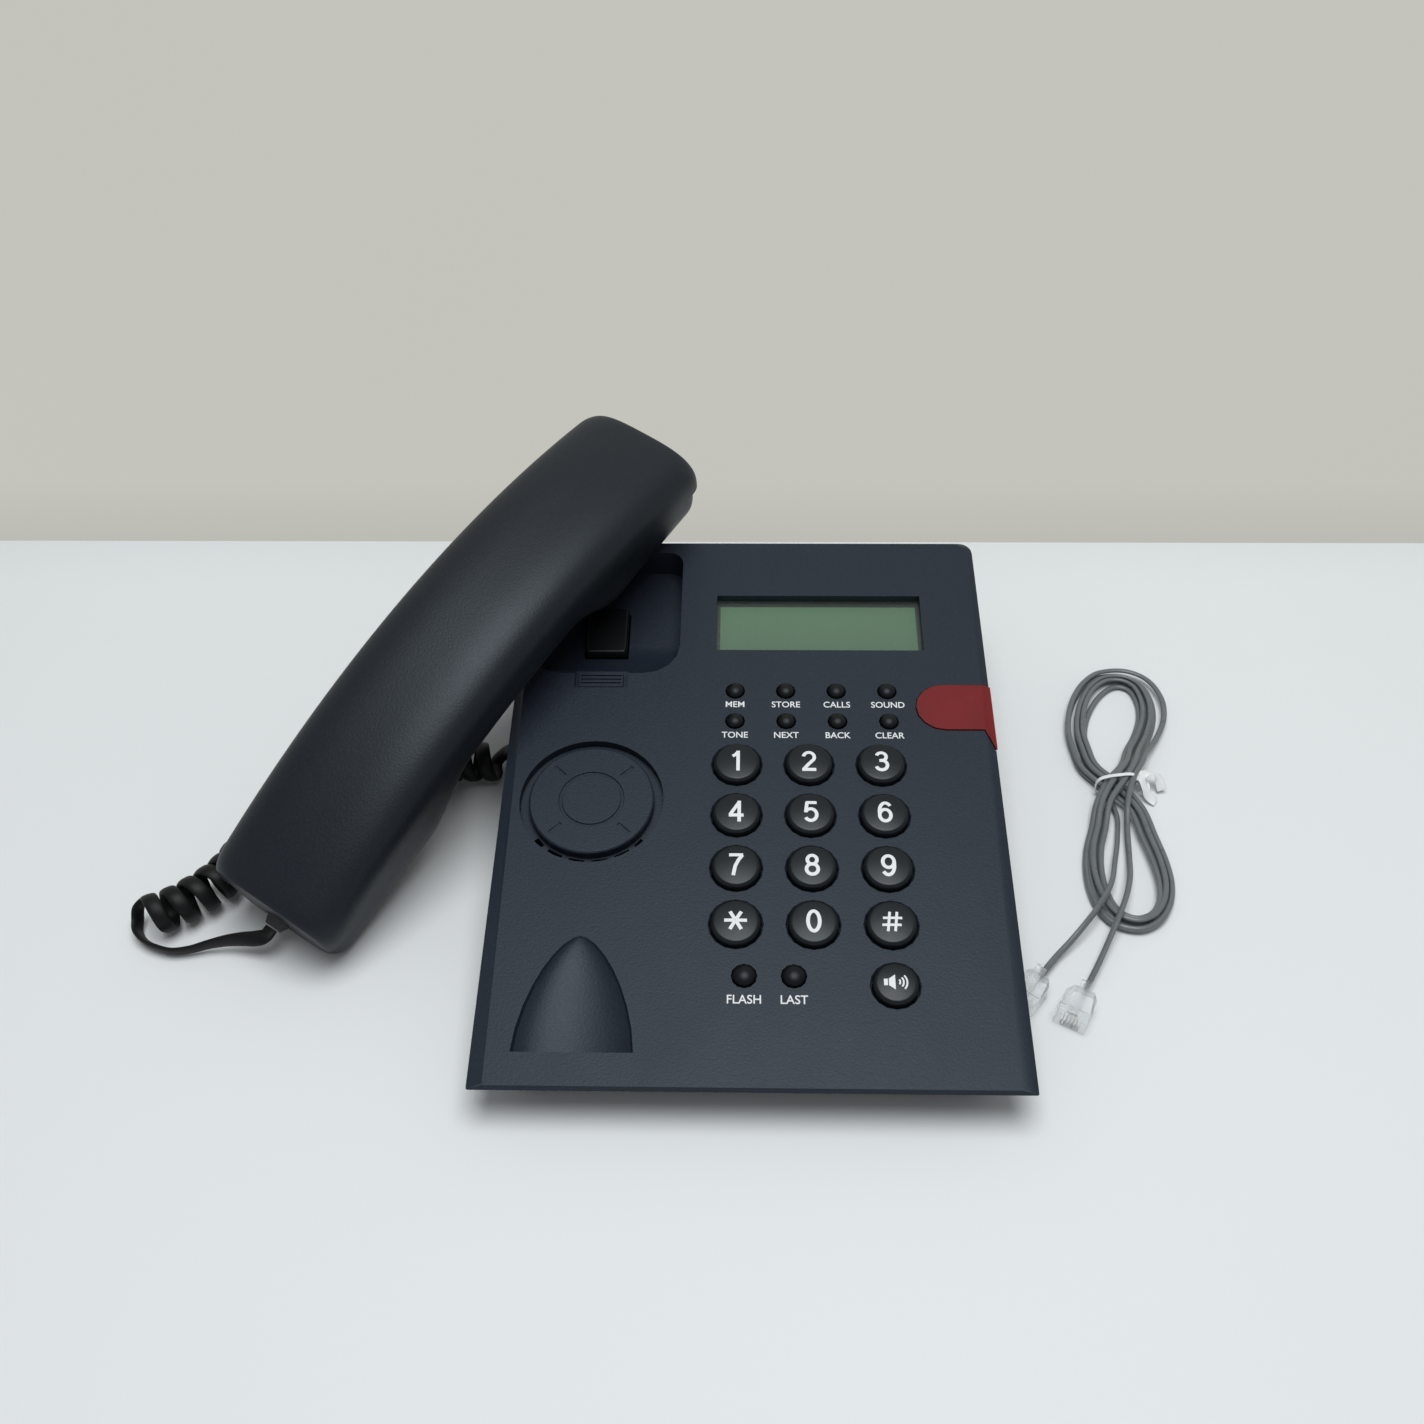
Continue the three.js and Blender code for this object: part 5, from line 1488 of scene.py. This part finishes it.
@dataclass
class Handset:
    """The handset's two shells, made from the same section rules as its solids, sizes in millimetres."""

    length: float = 199.0
    width: float = 47.5
    end_height: float = 30.0
    arch: float = 18.0
    grip: float = 27.0
    parting: float = 16.0
    wall: float = 2.2
    gap: float = 0.3
    front_inset: float = 1.0
    cup: float = 47.0
    cup_blend: float = 25.0
    end_round: float = 7.0
    tuck: float = 0.14
    edge_tuck: float = 0.06
    back_power: float = 3.1
    front_power: float = 4.0
    receiver_x: float = 174.0
    microphone_x: float = 26.0
    hole: float = 1.2
    hole_pitch: float = 5.2
    screw_x: float = 64.0
    screw: float = 2.4
    socket_height: float = 12.0
    plug_width: float = 7.6
    plug_height: float = 6.0
    plug_length: float = 11.5
    plug_contacts: int = 4
    cap_shares: tuple[float, ...] = (0.96, 0.85, 0.6, 0.3)
    cutter_depth: float = 12.0
    cutter_past: float = 6.0
    place: Point = (-0.1442, -0.0344, 0.00026)
    turn: float = 55.5
    rise: float = 18.215
    roll: float = 12.0
    stations: int = 90
    around: int = 56

    def matrix(self) -> Matrix:
        """The handset's placement."""
        turn = Euler((math.radians(self.roll), -math.radians(self.rise), math.radians(self.turn)), "XYZ")
        return Matrix.Translation(self.place) @ turn.to_matrix().to_4x4()

    def arch_rise(self, x: float) -> float:
        """How much the arch lifts a section."""
        return self.arch * (1 - (2 * x / self.length - 1) ** 2)

    def inner_height(self, x: float) -> float:
        """Height of the face between the cups."""
        edge = min(x, self.length - x)
        hollow = self.end_height + self.arch_rise(x) - self.grip
        return smooth((edge - self.cup) / self.cup_blend) * hollow

    def end_tuck(self, x: float, share: float) -> float:
        """How much a section draws in near the ends."""
        edge = min(x, self.length - x)
        if edge >= self.end_round:
            return 1.0
        fall = 1 - edge / self.end_round
        return 1 - share * (1 - math.sqrt(max(0.0, 1 - fall * fall)))

    def half_section(self, half: float, height: float, power: float) -> list[Flat]:
        """Half of a rounded section, from one side over to the other."""
        points = []
        for i in range(self.around + 1):
            angle = math.pi * i / self.around
            c, s = math.cos(angle), math.sin(angle)
            across = math.copysign(abs(c) ** (2 / power), c)
            points.append((half * across, height * abs(s) ** (2 / power)))
        return points

    def back_ring(self, x: float, inset: float) -> list[Flat]:
        """Section of the outer shell at a place along the handset."""
        tuck = self.end_tuck(x, self.tuck)
        base = self.parting + self.arch_rise(x) + self.gap
        half = (self.width / 2 - inset) * tuck
        height = (self.end_height - self.parting - inset) * self.end_tuck(x, self.edge_tuck)
        return [(y, base + z) for y, z in self.half_section(half, height, self.back_power)]

    def front_ring(self, x: float, inset: float) -> list[Flat]:
        """Section of the inner shell at a place along the handset."""
        tuck = self.end_tuck(x, 2 * self.tuck)
        base = self.parting + self.arch_rise(x)
        half = (self.width / 2 - self.front_inset - inset) * tuck
        depth = (base - self.inner_height(x) - inset) * tuck
        return [(-y, base - z) for y, z in self.half_section(half, depth, self.front_power)]

    def places(self, inset: float) -> list[float]:
        """Stations along the handset, closest near its ends."""
        span = self.length - 2 * inset
        angles = [math.pi * i / self.stations for i in range(self.stations + 1)]
        return [inset + span * (1 - math.cos(angle)) / 2 for angle in angles]

    def shell(self, name: str, ring: Callable[[float, float], list[Flat]]) -> Item:
        """A closed shell with an open hollow, from its outside and inside sections.

        Args:
            name: The shell's name.
            ring: Gives the section at a place and an inset.

        Returns:
            The shell in the handset's own frame.
        """
        bm = bmesh.new()
        skins = []
        for inset in (0.0, self.wall):
            rows = [
                [bm.verts.new((x * MM, y * MM, z * MM)) for y, z in ring(x, inset)]
                for x in self.places(inset)
            ]
            skins.append(rows)
            self.cover(bm, rows, inset > 0)
        outer, inner = skins
        rim_out = self.rim(outer)
        rim_in = self.rim(inner)
        for i in range(len(rim_out)):
            k = (i + 1) % len(rim_out)
            bm.faces.new((rim_out[i], rim_out[k], rim_in[k], rim_in[i]))
        return object_from(name, bm, Edge.SOFT)

    def rim(self, rows: list[list[bmesh.types.BMVert]]) -> list[bmesh.types.BMVert]:
        """The open edge of a skin, all the way round."""
        left = [row[0] for row in rows]
        right = [row[-1] for row in reversed(rows)]
        return [*left, *right]

    def cover(self, bm: bmesh.types.BMesh, rows: list[list[bmesh.types.BMVert]], flip: bool) -> None:
        """Skins between sections and closes both ends with shrinking rows."""
        for a, b in zip(rows, rows[1:]):
            for i in range(len(a) - 1):
                corners = (a[i], b[i], b[i + 1], a[i + 1])
                bm.faces.new(corners[::-1] if flip else corners)
        for row in (rows[0], rows[-1]):
            middle = (row[0].co + row[-1].co) / 2
            last = row
            for share in self.cap_shares:
                inner = [bm.verts.new(middle + (vertex.co - middle) * share) for vertex in row]
                for i in range(len(last) - 1):
                    bm.faces.new((last[i], last[i + 1], inner[i + 1], inner[i]))
                last = inner
            bm.faces.new(last)

    def build(self) -> None:
        """Makes the shells and dresses the small pieces."""
        back = self.shell("handset_back_shell", self.back_ring)
        front = self.shell("handset_front_shell", self.front_ring)
        self.pierce(front)
        for shell, node in ((back, "handset_back"), (front, "handset_front")):
            moved(shell, self.matrix())
            hand_over(shell, "handset", "housing", HANDSET_PLASTIC, node)
        kept = {
            "receiver": SOCKET_PLASTIC,
            "microphone": DARK_METAL,
            "handset_screw_mouth": STEEL,
            "handset_screw_ear": STEEL,
            "handset_socket": SOCKET_PLASTIC,
        }
        for node, finish in kept.items():
            dress(node, finish)

    def pierce(self, front: Item) -> None:
        """Cuts the sound holes, screw holes and the socket's mouth in the inner shell."""
        cutters = []
        for x, count in ((self.receiver_x, 7), (self.microphone_x, 5)):
            for i in range(count):
                angle = 2 * math.pi * i / (count - 1)
                reach = 0 if i == count - 1 else self.hole_pitch
                cutters.append((x + reach * math.cos(angle), reach * math.sin(angle), self.hole))
        for x in (self.screw_x, self.length - self.screw_x):
            cutters.append((x, 0.0, self.screw + self.gap))
        bm = bmesh.new()
        for x, y, radius in cutters:
            floor = self.inner_height(x)
            bmesh.ops.create_cone(
                bm,
                cap_ends=True,
                segments=24,
                radius1=radius * MM,
                radius2=radius * MM,
                depth=self.cutter_depth * MM,
                matrix=Matrix.Translation((x * MM, y * MM, floor * MM)),
            )
        width, height = self.plug_width + 2 * self.gap, self.plug_height + 2 * self.gap
        size = ((2 * self.wall + self.cutter_past) * MM, width * MM, height * MM)
        place = Matrix.Translation((0, 0, self.socket_height * MM))
        bmesh.ops.create_cube(bm, size=1.0, matrix=place @ Matrix.Diagonal((*size, 1)))
        tool = object_from("handset_cutters", bm)
        cut = front.modifiers.new("holes", "BOOLEAN")
        cut.operation = "DIFFERENCE"
        cut.solver = "EXACT"
        cut.object = tool
        applied(front)
        bpy.data.objects.remove(tool)


def catmull(points: Sequence[Vector], steps: int, closed: bool = False) -> list[Vector]:
    """A smooth centripetal curve through points.

    Args:
        points: The points that it goes through.
        steps: Steps from each point to the next.
        closed: Whether it returns to its start.

    Returns:
        The curve's points.
    """
    count = len(points)
    made: list[Vector] = []
    spans = count if closed else count - 1
    for i in range(spans):
        if closed:
            p = [points[(i + k - 1) % count] for k in range(4)]
        else:
            p = [
                points[i - 1] if i else 2 * points[0] - points[1],
                points[i],
                points[i + 1],
                points[i + 2] if i + 2 < count else 2 * points[-1] - points[-2],
            ]
        t = [0.0]
        for a, b in zip(p, p[1:]):
            t.append(t[-1] + max(1e-6, (b - a).length) ** 0.5)
        for k in range(steps):
            u = t[1] + (t[2] - t[1]) * k / steps
            a1 = p[0].lerp(p[1], (u - t[0]) / (t[1] - t[0]))
            a2 = p[1].lerp(p[2], (u - t[1]) / (t[2] - t[1]))
            a3 = p[2].lerp(p[3], (u - t[2]) / (t[3] - t[2]))
            b1 = a1.lerp(a2, (u - t[0]) / (t[2] - t[0]))
            b2 = a2.lerp(a3, (u - t[1]) / (t[3] - t[1]))
            made.append(b1.lerp(b2, (u - t[1]) / (t[2] - t[1])))
    if not closed:
        made.append(points[-1].copy())
    return made


def route_length(points: Sequence[Vector]) -> float:
    """Length of a chain of points."""
    return sum((b - a).length for a, b in zip(points, points[1:]))


def smooth(share: float) -> float:
    """A share from nothing to one that starts and ends gently."""
    share = min(1.0, max(0.0, share))
    return share * share * (3 - 2 * share)


def carried(points: Sequence[Vector], first: Vector, last: Vector) -> list[Vector]:
    """Carries a flat cord's side direction along a chain without needless twist.

    Args:
        points: The chain.
        first: The direction across the cord at its start.
        last: The direction across it at its end, reached by an even twist.

    Returns:
        A direction for each point.
    """
    plain = [first]
    for i in range(len(points)):
        tangent = along_route(points, i)
        plain.append((plain[-1] - tangent * plain[-1].dot(tangent)).normalized())
    plain = plain[1:]
    end = along_route(points, len(points) - 1)
    goal = (last - end * last.dot(end)).normalized()
    rest = math.atan2(plain[-1].cross(goal).dot(end), plain[-1].dot(goal))
    if abs(rest) > math.pi / 2:
        rest -= math.copysign(math.pi, rest)
    made = []
    for i, side in enumerate(plain):
        turn = rest * smooth(i / (len(points) - 1))
        made.append(Matrix.Rotation(turn, 3, along_route(points, i)) @ side)
    return made


def even(points: Sequence[Vector], count: int) -> list[Vector]:
    """Points at even distances along a chain.

    Args:
        points: The chain.
        count: How many steps the result has.

    Returns:
        The even points.
    """
    total = route_length(points)
    result = [points[0].copy()]
    run, i = 0.0, 0
    for k in range(1, count):
        goal = total * k / count
        while i < len(points) - 2 and run + (points[i + 1] - points[i]).length < goal:
            run += (points[i + 1] - points[i]).length
            i += 1
        step = (points[i + 1] - points[i]).length
        result.append(points[i].lerp(points[i + 1], (goal - run) / max(step, 1e-9)))
    result.append(points[-1].copy())
    return result


@dataclass
class CurlyCord:
    """The handset's curly cord, from the handset's plug to the base's."""

    lead: tuple[Point, ...] = (
        (-0.1504, -0.0439, 0.0085), (-0.1552, -0.0433, 0.0073), (-0.1608, -0.0428, 0.0057),
        (-0.1668, -0.0431, 0.0041), (-0.1722, -0.0443, 0.0032), (-0.1774, -0.0448, 0.0029),
        (-0.1822, -0.0436, 0.0029), (-0.1862, -0.0417, 0.0029), (-0.1890, -0.0394, 0.0030),
        (-0.1907, -0.0370, 0.0032), (-0.1913, -0.0339, 0.0042), (-0.1909, -0.0313, 0.0075),
    )
    upright_at: int = 4
    upright: Point = (0.0, -0.29, 0.96)
    axis: tuple[Point, ...] = (
        (-0.1870, -0.0358, 0.0080), (-0.1780, -0.0306, 0.0080), (-0.1680, -0.0200, 0.0080),
        (-0.1614, -0.0050, 0.0080), (-0.1520, 0.0100, 0.0080), (-0.1370, 0.0224, 0.0080),
        (-0.1130, 0.0310, 0.0080), (-0.0880, 0.0330, 0.0080),
    )
    base_lead: tuple[Point, ...] = (
        (-0.0886, 0.0374, 0.0026), (-0.0856, 0.0396, 0.0052), (-0.0824, 0.0388, 0.0082),
    )
    radius: float = 0.0059
    curls: int = 20
    per_curl: int = 28
    left_out: int = 9
    section: Section = Section(0.0048, 0.0018, 20)
    plug_out: float = 0.003
    straight: float = 0.003
    lead_steps: int = 10
    axis_steps: int = 24
    base_socket: Point = (-0.0725, 0.038, 0.010)
    blend_from: Point = (-0.152, -0.030, 0.003)
    blend_to: Point = (-0.1455, -0.0405, 0.0095)

    def points(self) -> tuple[list[Vector], list[Vector]]:
        """The route and the direction across the flat section at each point."""
        matrix = HANDSET.matrix()
        plug_end = self.plug_out + HANDSET.gap * MM
        start = matrix @ Vector((-plug_end, 0, HANDSET.socket_height * MM))
        way = (matrix.to_3x3() @ Vector((-1, 0, 0))).normalized()
        stop = Vector(self.base_socket) + Vector((-plug_end, 0, 0))
        axis = catmull([Vector(p) for p in self.axis], self.axis_steps)
        spine = even(axis, self.curls * self.per_curl)
        coil, across = [], []
        for i, centre in enumerate(spine):
            along = along_route(spine, i)
            side = UP.cross(along).normalized()
            angle = -math.pi / 2 + 2 * math.pi * i / self.per_curl
            level = centre + side * self.radius * math.cos(angle)
            coil.append(level + UP * self.radius * math.sin(angle))
            across.append(along)
        coil, across = coil[self.left_out:], across[self.left_out:]
        lead = [Vector(p) for p in self.lead]
        base_lead = [Vector(p) for p in self.base_lead]
        steps = self.lead_steps
        leaving = [start, start + way * self.straight, *lead, coil[0], coil[2]]
        entering = [coil[-1], *base_lead, stop + Vector((-self.straight, 0, 0)), stop]
        before = catmull(leaving, steps)[:-steps - 1]
        after = catmull(entering, steps)[1:]
        route = [*before, *coil, *after]
        first, last = len(before), len(before) + len(coil) - 1
        middle = steps * (self.upright_at + 2)
        rising = carried(route[first:middle - 1:-1], across[0], Vector(self.upright))
        flat = carried(route[middle::-1], rising[-1], way.cross(UP))
        tail = carried(route[last:], across[-1], Vector((0, 1, 0)))
        return route, [*reversed(flat), *reversed(rising[:-1]), *across[1:-1], *tail]

    def build(self) -> None:
        route, sides = self.points()
        cord = sleeve("curly_cord_sleeve", route, CURLY_VINYL, self.section, sides)
        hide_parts("curly_cord")
        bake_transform(cord)
        in_base = Matrix.Translation(Vector(self.base_socket) - Vector((self.plug_out, 0, 0)))
        in_handset = Matrix.Translation((-self.plug_out, 0, HANDSET.socket_height * MM))
        ends = (
            ("base_plug", in_base, "root"),
            ("handset_plug", HANDSET.matrix() @ in_handset, "handset"),
        )
        sizes = (HANDSET.plug_width, HANDSET.plug_height, HANDSET.plug_length, HANDSET.plug_contacts)
        for node, place, body in ends:
            SmallPlug(f"{node}_body", *sizes, PLUG_SMOKED).build(place, body, node)
        round(route_length(route), 3)
        log.info("curly cord: %.3f m", route_length(route))


@dataclass
class SmallPlug:
    """A plug with gilt contacts, made along +X from its cable end, sizes in millimetres."""

    name: str
    width: float
    height: float
    length: float
    contacts: int
    finish: ClearPlastic
    free_latch: bool = False
    neck: float = 3.4
    taper: float = 0.62
    edge: float = 0.25
    blade: Flat = (1.6, 0.18)
    blade_pitch: float = 1.02
    blade_back: float = 2.2
    blade_rise: float = 1.25

    def build(self, matrix: Matrix, body: str, node: str) -> Item:
        """Makes the plug where its node is.

        Args:
            matrix: The plug's placement.
            body: The CAD body that it moves with.
            node: The CAD node that it replaces.

        Returns:
            The plug.
        """
        parts = [painted(self.hull(), self.finish)]
        if self.free_latch:
            parts.append(painted(self.latch(), self.finish))
        x, y = self.blade
        blade = slab(f"{self.name}_blade", [(-x, -y), (x, -y), (x, y), (-x, y)], -1.0, 1.0)
        row = in_a_row(f"{self.name}_blades", blade, self.contacts, self.blade_pitch * MM, GOLD)
        height = self.blade_rise - self.height / 2
        moved(row, Matrix.Translation(((self.length - self.blade_back) * MM, 0, height * MM)))
        parts.append(row)
        piece = joined(self.name, parts)
        moved(piece, matrix)
        return hand_over(piece, body, "clear_plugs", None, node)

    def hull(self) -> Item:
        """The plug's body, with its stepped back and softened edges."""
        h, w, n = self.height / 2, self.width / 2, self.length
        wall = self.height / 6
        outline = [
            (0, -h), (self.neck, -h), (n, -h), (n, h - wall), (n - wall, h), (n - 3 * wall, h),
            (n - 3 * wall, h - wall), (self.neck, h - wall), (0, h - wall),
        ]
        item = slab(f"{self.name}_hull", outline, -w, w)
        moved(item, Matrix.Rotation(math.pi / 2, 4, "X"))
        for vertex in item.data.vertices:
            if vertex.co.x < self.neck / 2 * MM:
                vertex.co.y *= self.taper
                vertex.co.z *= self.taper
        soften = item.modifiers.new("edges", "BEVEL")
        soften.width = self.edge * MM
        soften.segments = 2
        soften.harden_normals = True
        return applied(item)

    def latch(self) -> Item:
        """The spring latch that stands free over the body."""
        h, n = self.height / 2, self.length
        t = self.height / 7
        w = self.width / 6
        outline = [(n - 2 * t, h - t), (n - t, h - t), (n - t, h), (0, h + 2 * t), (0, h + t)]
        item = slab(f"{self.name}_latch", outline, -w, w)
        return moved(item, Matrix.Rotation(math.pi / 2, 4, "X"))


@dataclass
class LineCord:
    """The grey line cord: two ends with plugs and a crossed, tied hank, sizes in millimetres."""

    middle: tuple[Flat, ...] = (
        (118.4, 27.5), (116.6, 40.0), (115.4, 52.5), (118.2, 66.0), (124.6, 78.0), (133.4, 83.2),
        (140.4, 79.0), (141.8, 66.4), (136.4, 50.8), (129.8, 38.5), (128.6, 27.5), (129.4, 14.0),
        (132.0, -4.0), (131.0, -18.6), (125.4, -28.2), (117.2, -30.6), (111.4, -24.6), (109.8, -12.0),
        (112.2, 2.0), (117.0, 15.0),
    )
    end_a: tuple[Point, ...] = (
        (86.6, -51.6, 3.3), (89.6, -47.8, 3.3), (93.0, -43.8, 3.4), (97.4, -39.4, 4.4),
        (102.8, -33.6, 6.0), (108.6, -26.0, 6.4), (113.8, -16.8, 5.6), (117.4, -5.6, 3.0),
        (120.6, 6.0, 1.6), (122.2, 17.0, 1.5),
    )
    end_b: tuple[Point, ...] = (
        (125.4, 18.0, 6.2), (123.8, 8.0, 3.4), (122.3, -4.0, 2.6), (120.2, -14.0, 4.8),
        (117.0, -23.2, 6.3), (113.2, -31.2, 6.4), (109.0, -39.2, 5.0), (104.8, -46.8, 3.8),
        (101.2, -53.0, 3.3), (99.0, -56.8, 3.3),
    )
    section: Section = Section(0.0020, 0.0014, 14)
    floor_gap: float = 0.55
    gap: float = 0.3
    pitch: float = 2.45
    layer: float = 1.8
    loops: int = 3
    per_half: int = 14
    waist: Flat = (123.5, 27.5)
    waist_lift: float = 0.45
    waist_spread: float = 1.3
    hump: float = 3.9
    hump_reach: float = 26.0
    lower_share: float = 0.86
    strays: tuple[Flat, ...] = (
        (5.34, 2.6), (2.2, -1.8), (3.2, 0.7), (0.7, 1.2), (3.72, 1.7), (4.8, -2.0), (1.3, 0.5),
    )
    stray_turn: float = 0.07
    plug_sizes: tuple[float, float, float, int] = (9.65, 6.6, 12.6, 6)
    tie_low: float = 0.38
    tie_half: float = 7.0
    tie_over: float = 1.25
    tie_slant: float = 0.17
    tie_square: float = 0.6
    tie_steps: int = 48
    tie_band: Section = Section(0.0014, 0.0005, 12)
    tie_tail: Section = Section(0.0033, 0.0004, 12)
    tie_knot: Point = (-0.4, 0.8, 5.8)
    tails: tuple[tuple[Point, ...], ...] = (
        ((0, 0, 0), (2.2, 1.0, 1.0), (4.8, 2.4, 0.9), (7.6, 2.0, -0.6), (9.4, -1.2, -4.0)),
        ((0, 0.9, 0.5), (1.6, -0.6, 0.9), (2.6, -2.8, -1.0), (4.0, -4.6, -3.4), (6.4, -6.2, -4.9)),
        ((0.2, -0.6, -0.4), (2.0, 0.8, -0.6), (3.2, 0.4, -2.0), (3.6, -1.6, -3.6), (2.6, -3.4, -4.4)),
    )

    def climb(self, turn: float) -> float:
        """Nothing while the cord is laid on the table, one once it lies on its own first loops."""
        return smooth((turn - self.loops + 0.5) / 0.5)

    def offset(self, turn: float) -> float:
        """How far to the left of the hank's middle line the cord lies after a number of turns."""
        turns = 2 * self.loops - 0.5
        strays = sum(
            reach * math.exp(-(((turn - where) / self.stray_turn) ** 2)) for where, reach in self.strays
        )
        wander = 0.3 * math.sin(5.65 * turn) + 0.35 * math.sin(2.7 * turn + 1)
        place = self.loops / 2 - 0.25 - min(turn, turns - turn) + 0.5 * self.climb(turn)
        return self.pitch * place + wander + strays

    def height(self, turn: float) -> float:
        """Height of the cord's middle in the loops."""
        return self.section.thick / MM / 2 + self.floor_gap + self.layer * self.climb(turn)

    def strand(self, ring: Sequence[Vector], turn: float) -> Vector:
        """A point of the hank's loops.

        Args:
            ring: The hank's middle line.
            turn: How many turns of the figure of eight lie before it.

        Returns:
            The point in millimetres.
        """
        half, share = divmod(2 * turn, 1)
        upper = half % 2 == 0
        count = len(ring)
        place = round(count * share / 2 if upper else count * (1 - share / 2))
        along = (ring[(place + 1) % count] - ring[(place - 1) % count]).normalized()
        along *= 1 if upper else -1
        aside = self.offset(turn) * (1 if upper else self.lower_share)
        here = ring[place % count] + Vector((-along.y, along.x, 0)) * aside
        near = smooth(1 - abs(here.y - self.waist[1]) / self.hump_reach)
        over = self.hump if (share > 0.5) == upper else 0
        here.z = self.height(turn) + near * (self.waist_lift + over)
        return here

    def crossing(self, half: int) -> Vector:
        """Where the cord passes the waist for the given time."""
        over = half % 2
        across = self.offset(half / 2) * self.waist_spread * (1 if over else -1)
        height = self.height(half / 2) + self.waist_lift + self.hump * over
        return Vector((self.waist[0] + across, self.waist[1], height))

    def route(self) -> list[Vector]:
        """The whole cord's route in metres."""
        ring = catmull([Vector((x, y, 0)) for x, y in self.middle], 8, closed=True)
        chain = [*[Vector(p) for p in self.end_a], self.crossing(0)]
        for half in range(4 * self.loops - 1):
            for i in range(self.per_half):
                share = 0.08 + 0.84 * i / (self.per_half - 1)
                chain.append(self.strand(ring, (half + share) / 2))
            chain.append(self.crossing(half + 1))
        chain.extend(Vector(p) for p in self.end_b)
        return [p * MM for p in catmull(chain, 7)]

    def sides(self, route: Sequence[Vector]) -> list[Vector]:
        """Directions across the flat cord, which rolls a little as it lies."""
        made = []
        for i in range(len(route)):
            tangent = along_route(route, i)
            roll = 0.5 * math.sin(0.031 * i) + 0.35 * math.sin(0.0113 * i + 1)
            made.append(Matrix.Rotation(roll, 3, tangent) @ UP.cross(tangent).normalized())
        return made

    def build(self) -> None:
        route = self.route()
        cord = sleeve("line_cord_sleeve", route, LINE_VINYL, self.section, self.sides(route))
        hand_over(cord, "root", "line_wire", None, "line_cord")
        plugs = [
            self.plug("line_plug_a", Vector(self.end_a[0]), Vector(self.end_a[1])),
            self.plug("line_plug_b", Vector(self.end_b[-1]), Vector(self.end_b[-2])),
        ]
        tie = self.tie()
        round(route_length(route), 3)
        log.info("line cord: %.3f m", route_length(route))

    def plug(self, node: str, here: Vector, back: Vector) -> Item:
        """The plug at one end of the cord.

        Args:
            node: The CAD node that it replaces.
            here: The cord's last point, in millimetres.
            back: The point before it.

        Returns:
            The plug.
        """
        way = (here - back).to_2d().normalized()
        place = here.to_2d() + way * self.gap
        plug = SmallPlug(f"{node}_body", *self.plug_sizes, PLUG_CLEAR, free_latch=True)
        lying = Matrix.Translation((place.x * MM, place.y * MM, (plug.height / 2 + self.gap) * MM))
        return plug.build(lying @ Matrix.Rotation(math.atan2(way.y, way.x), 4, "Z"), "root", node)

    def tie(self) -> Item:
        """The coated wire tie round the waist, with its loose tails."""
        low, half, square = self.tie_low, self.tie_half, self.tie_square
        high = self.crossing(4 * self.loops - 3).z + self.tie_over
        centre = Vector((*self.waist, 0))
        loop = []
        for i in range(self.tie_steps + 1):
            angle = 2 * math.pi * i / self.tie_steps
            c, s = math.cos(angle), math.sin(angle)
            across = math.copysign(abs(c) ** square, c) * half
            upward = math.copysign(abs(s) ** square, s) * (high - low) / 2 + (high + low) / 2
            loop.append((centre + Vector((across, across * self.tie_slant, upward))) * MM)
        level = [Vector((0, 1, 0))] * len(loop)
        parts = [sleeve("tie_band", loop, TIE_VINYL, self.tie_band, level)]
        root = centre + Vector((half, 0, 0)) + Vector(self.tie_knot)
        for tail, bends in enumerate(self.tails):
            points = [(root + bend) * MM for bend in catmull([Vector(bend) for bend in bends], 8)]
            sides = []
            for i in range(len(points)):
                tangent = along_route(points, i)
                twist = 0.4 * math.sin(0.25 * i + 1.3 * tail)
                sides.append(Matrix.Rotation(twist, 3, tangent) @ UP.cross(tangent).normalized())
            parts.append(sleeve(f"tie_tail_{tail}", points, TIE_VINYL, self.tie_tail, sides))
        return hand_over(joined("tie_strip", parts), "root", "tie", None, "twist_tie")


HANDSET = Handset()


def main() -> None:
    """Builds the studio and every sub-assembly in order."""
    logging.basicConfig(level=logging.INFO, format="%(name)s: %(message)s")
    Studio().build()
    CurlyCord().build()
    LineCord().build()
    Housing().build()
    Display().build()
    Cradle().build()
    KeyField().build()
    HANDSET.build()
    bpy.context.view_layer.update()


if __name__ == "__main__":
    main()
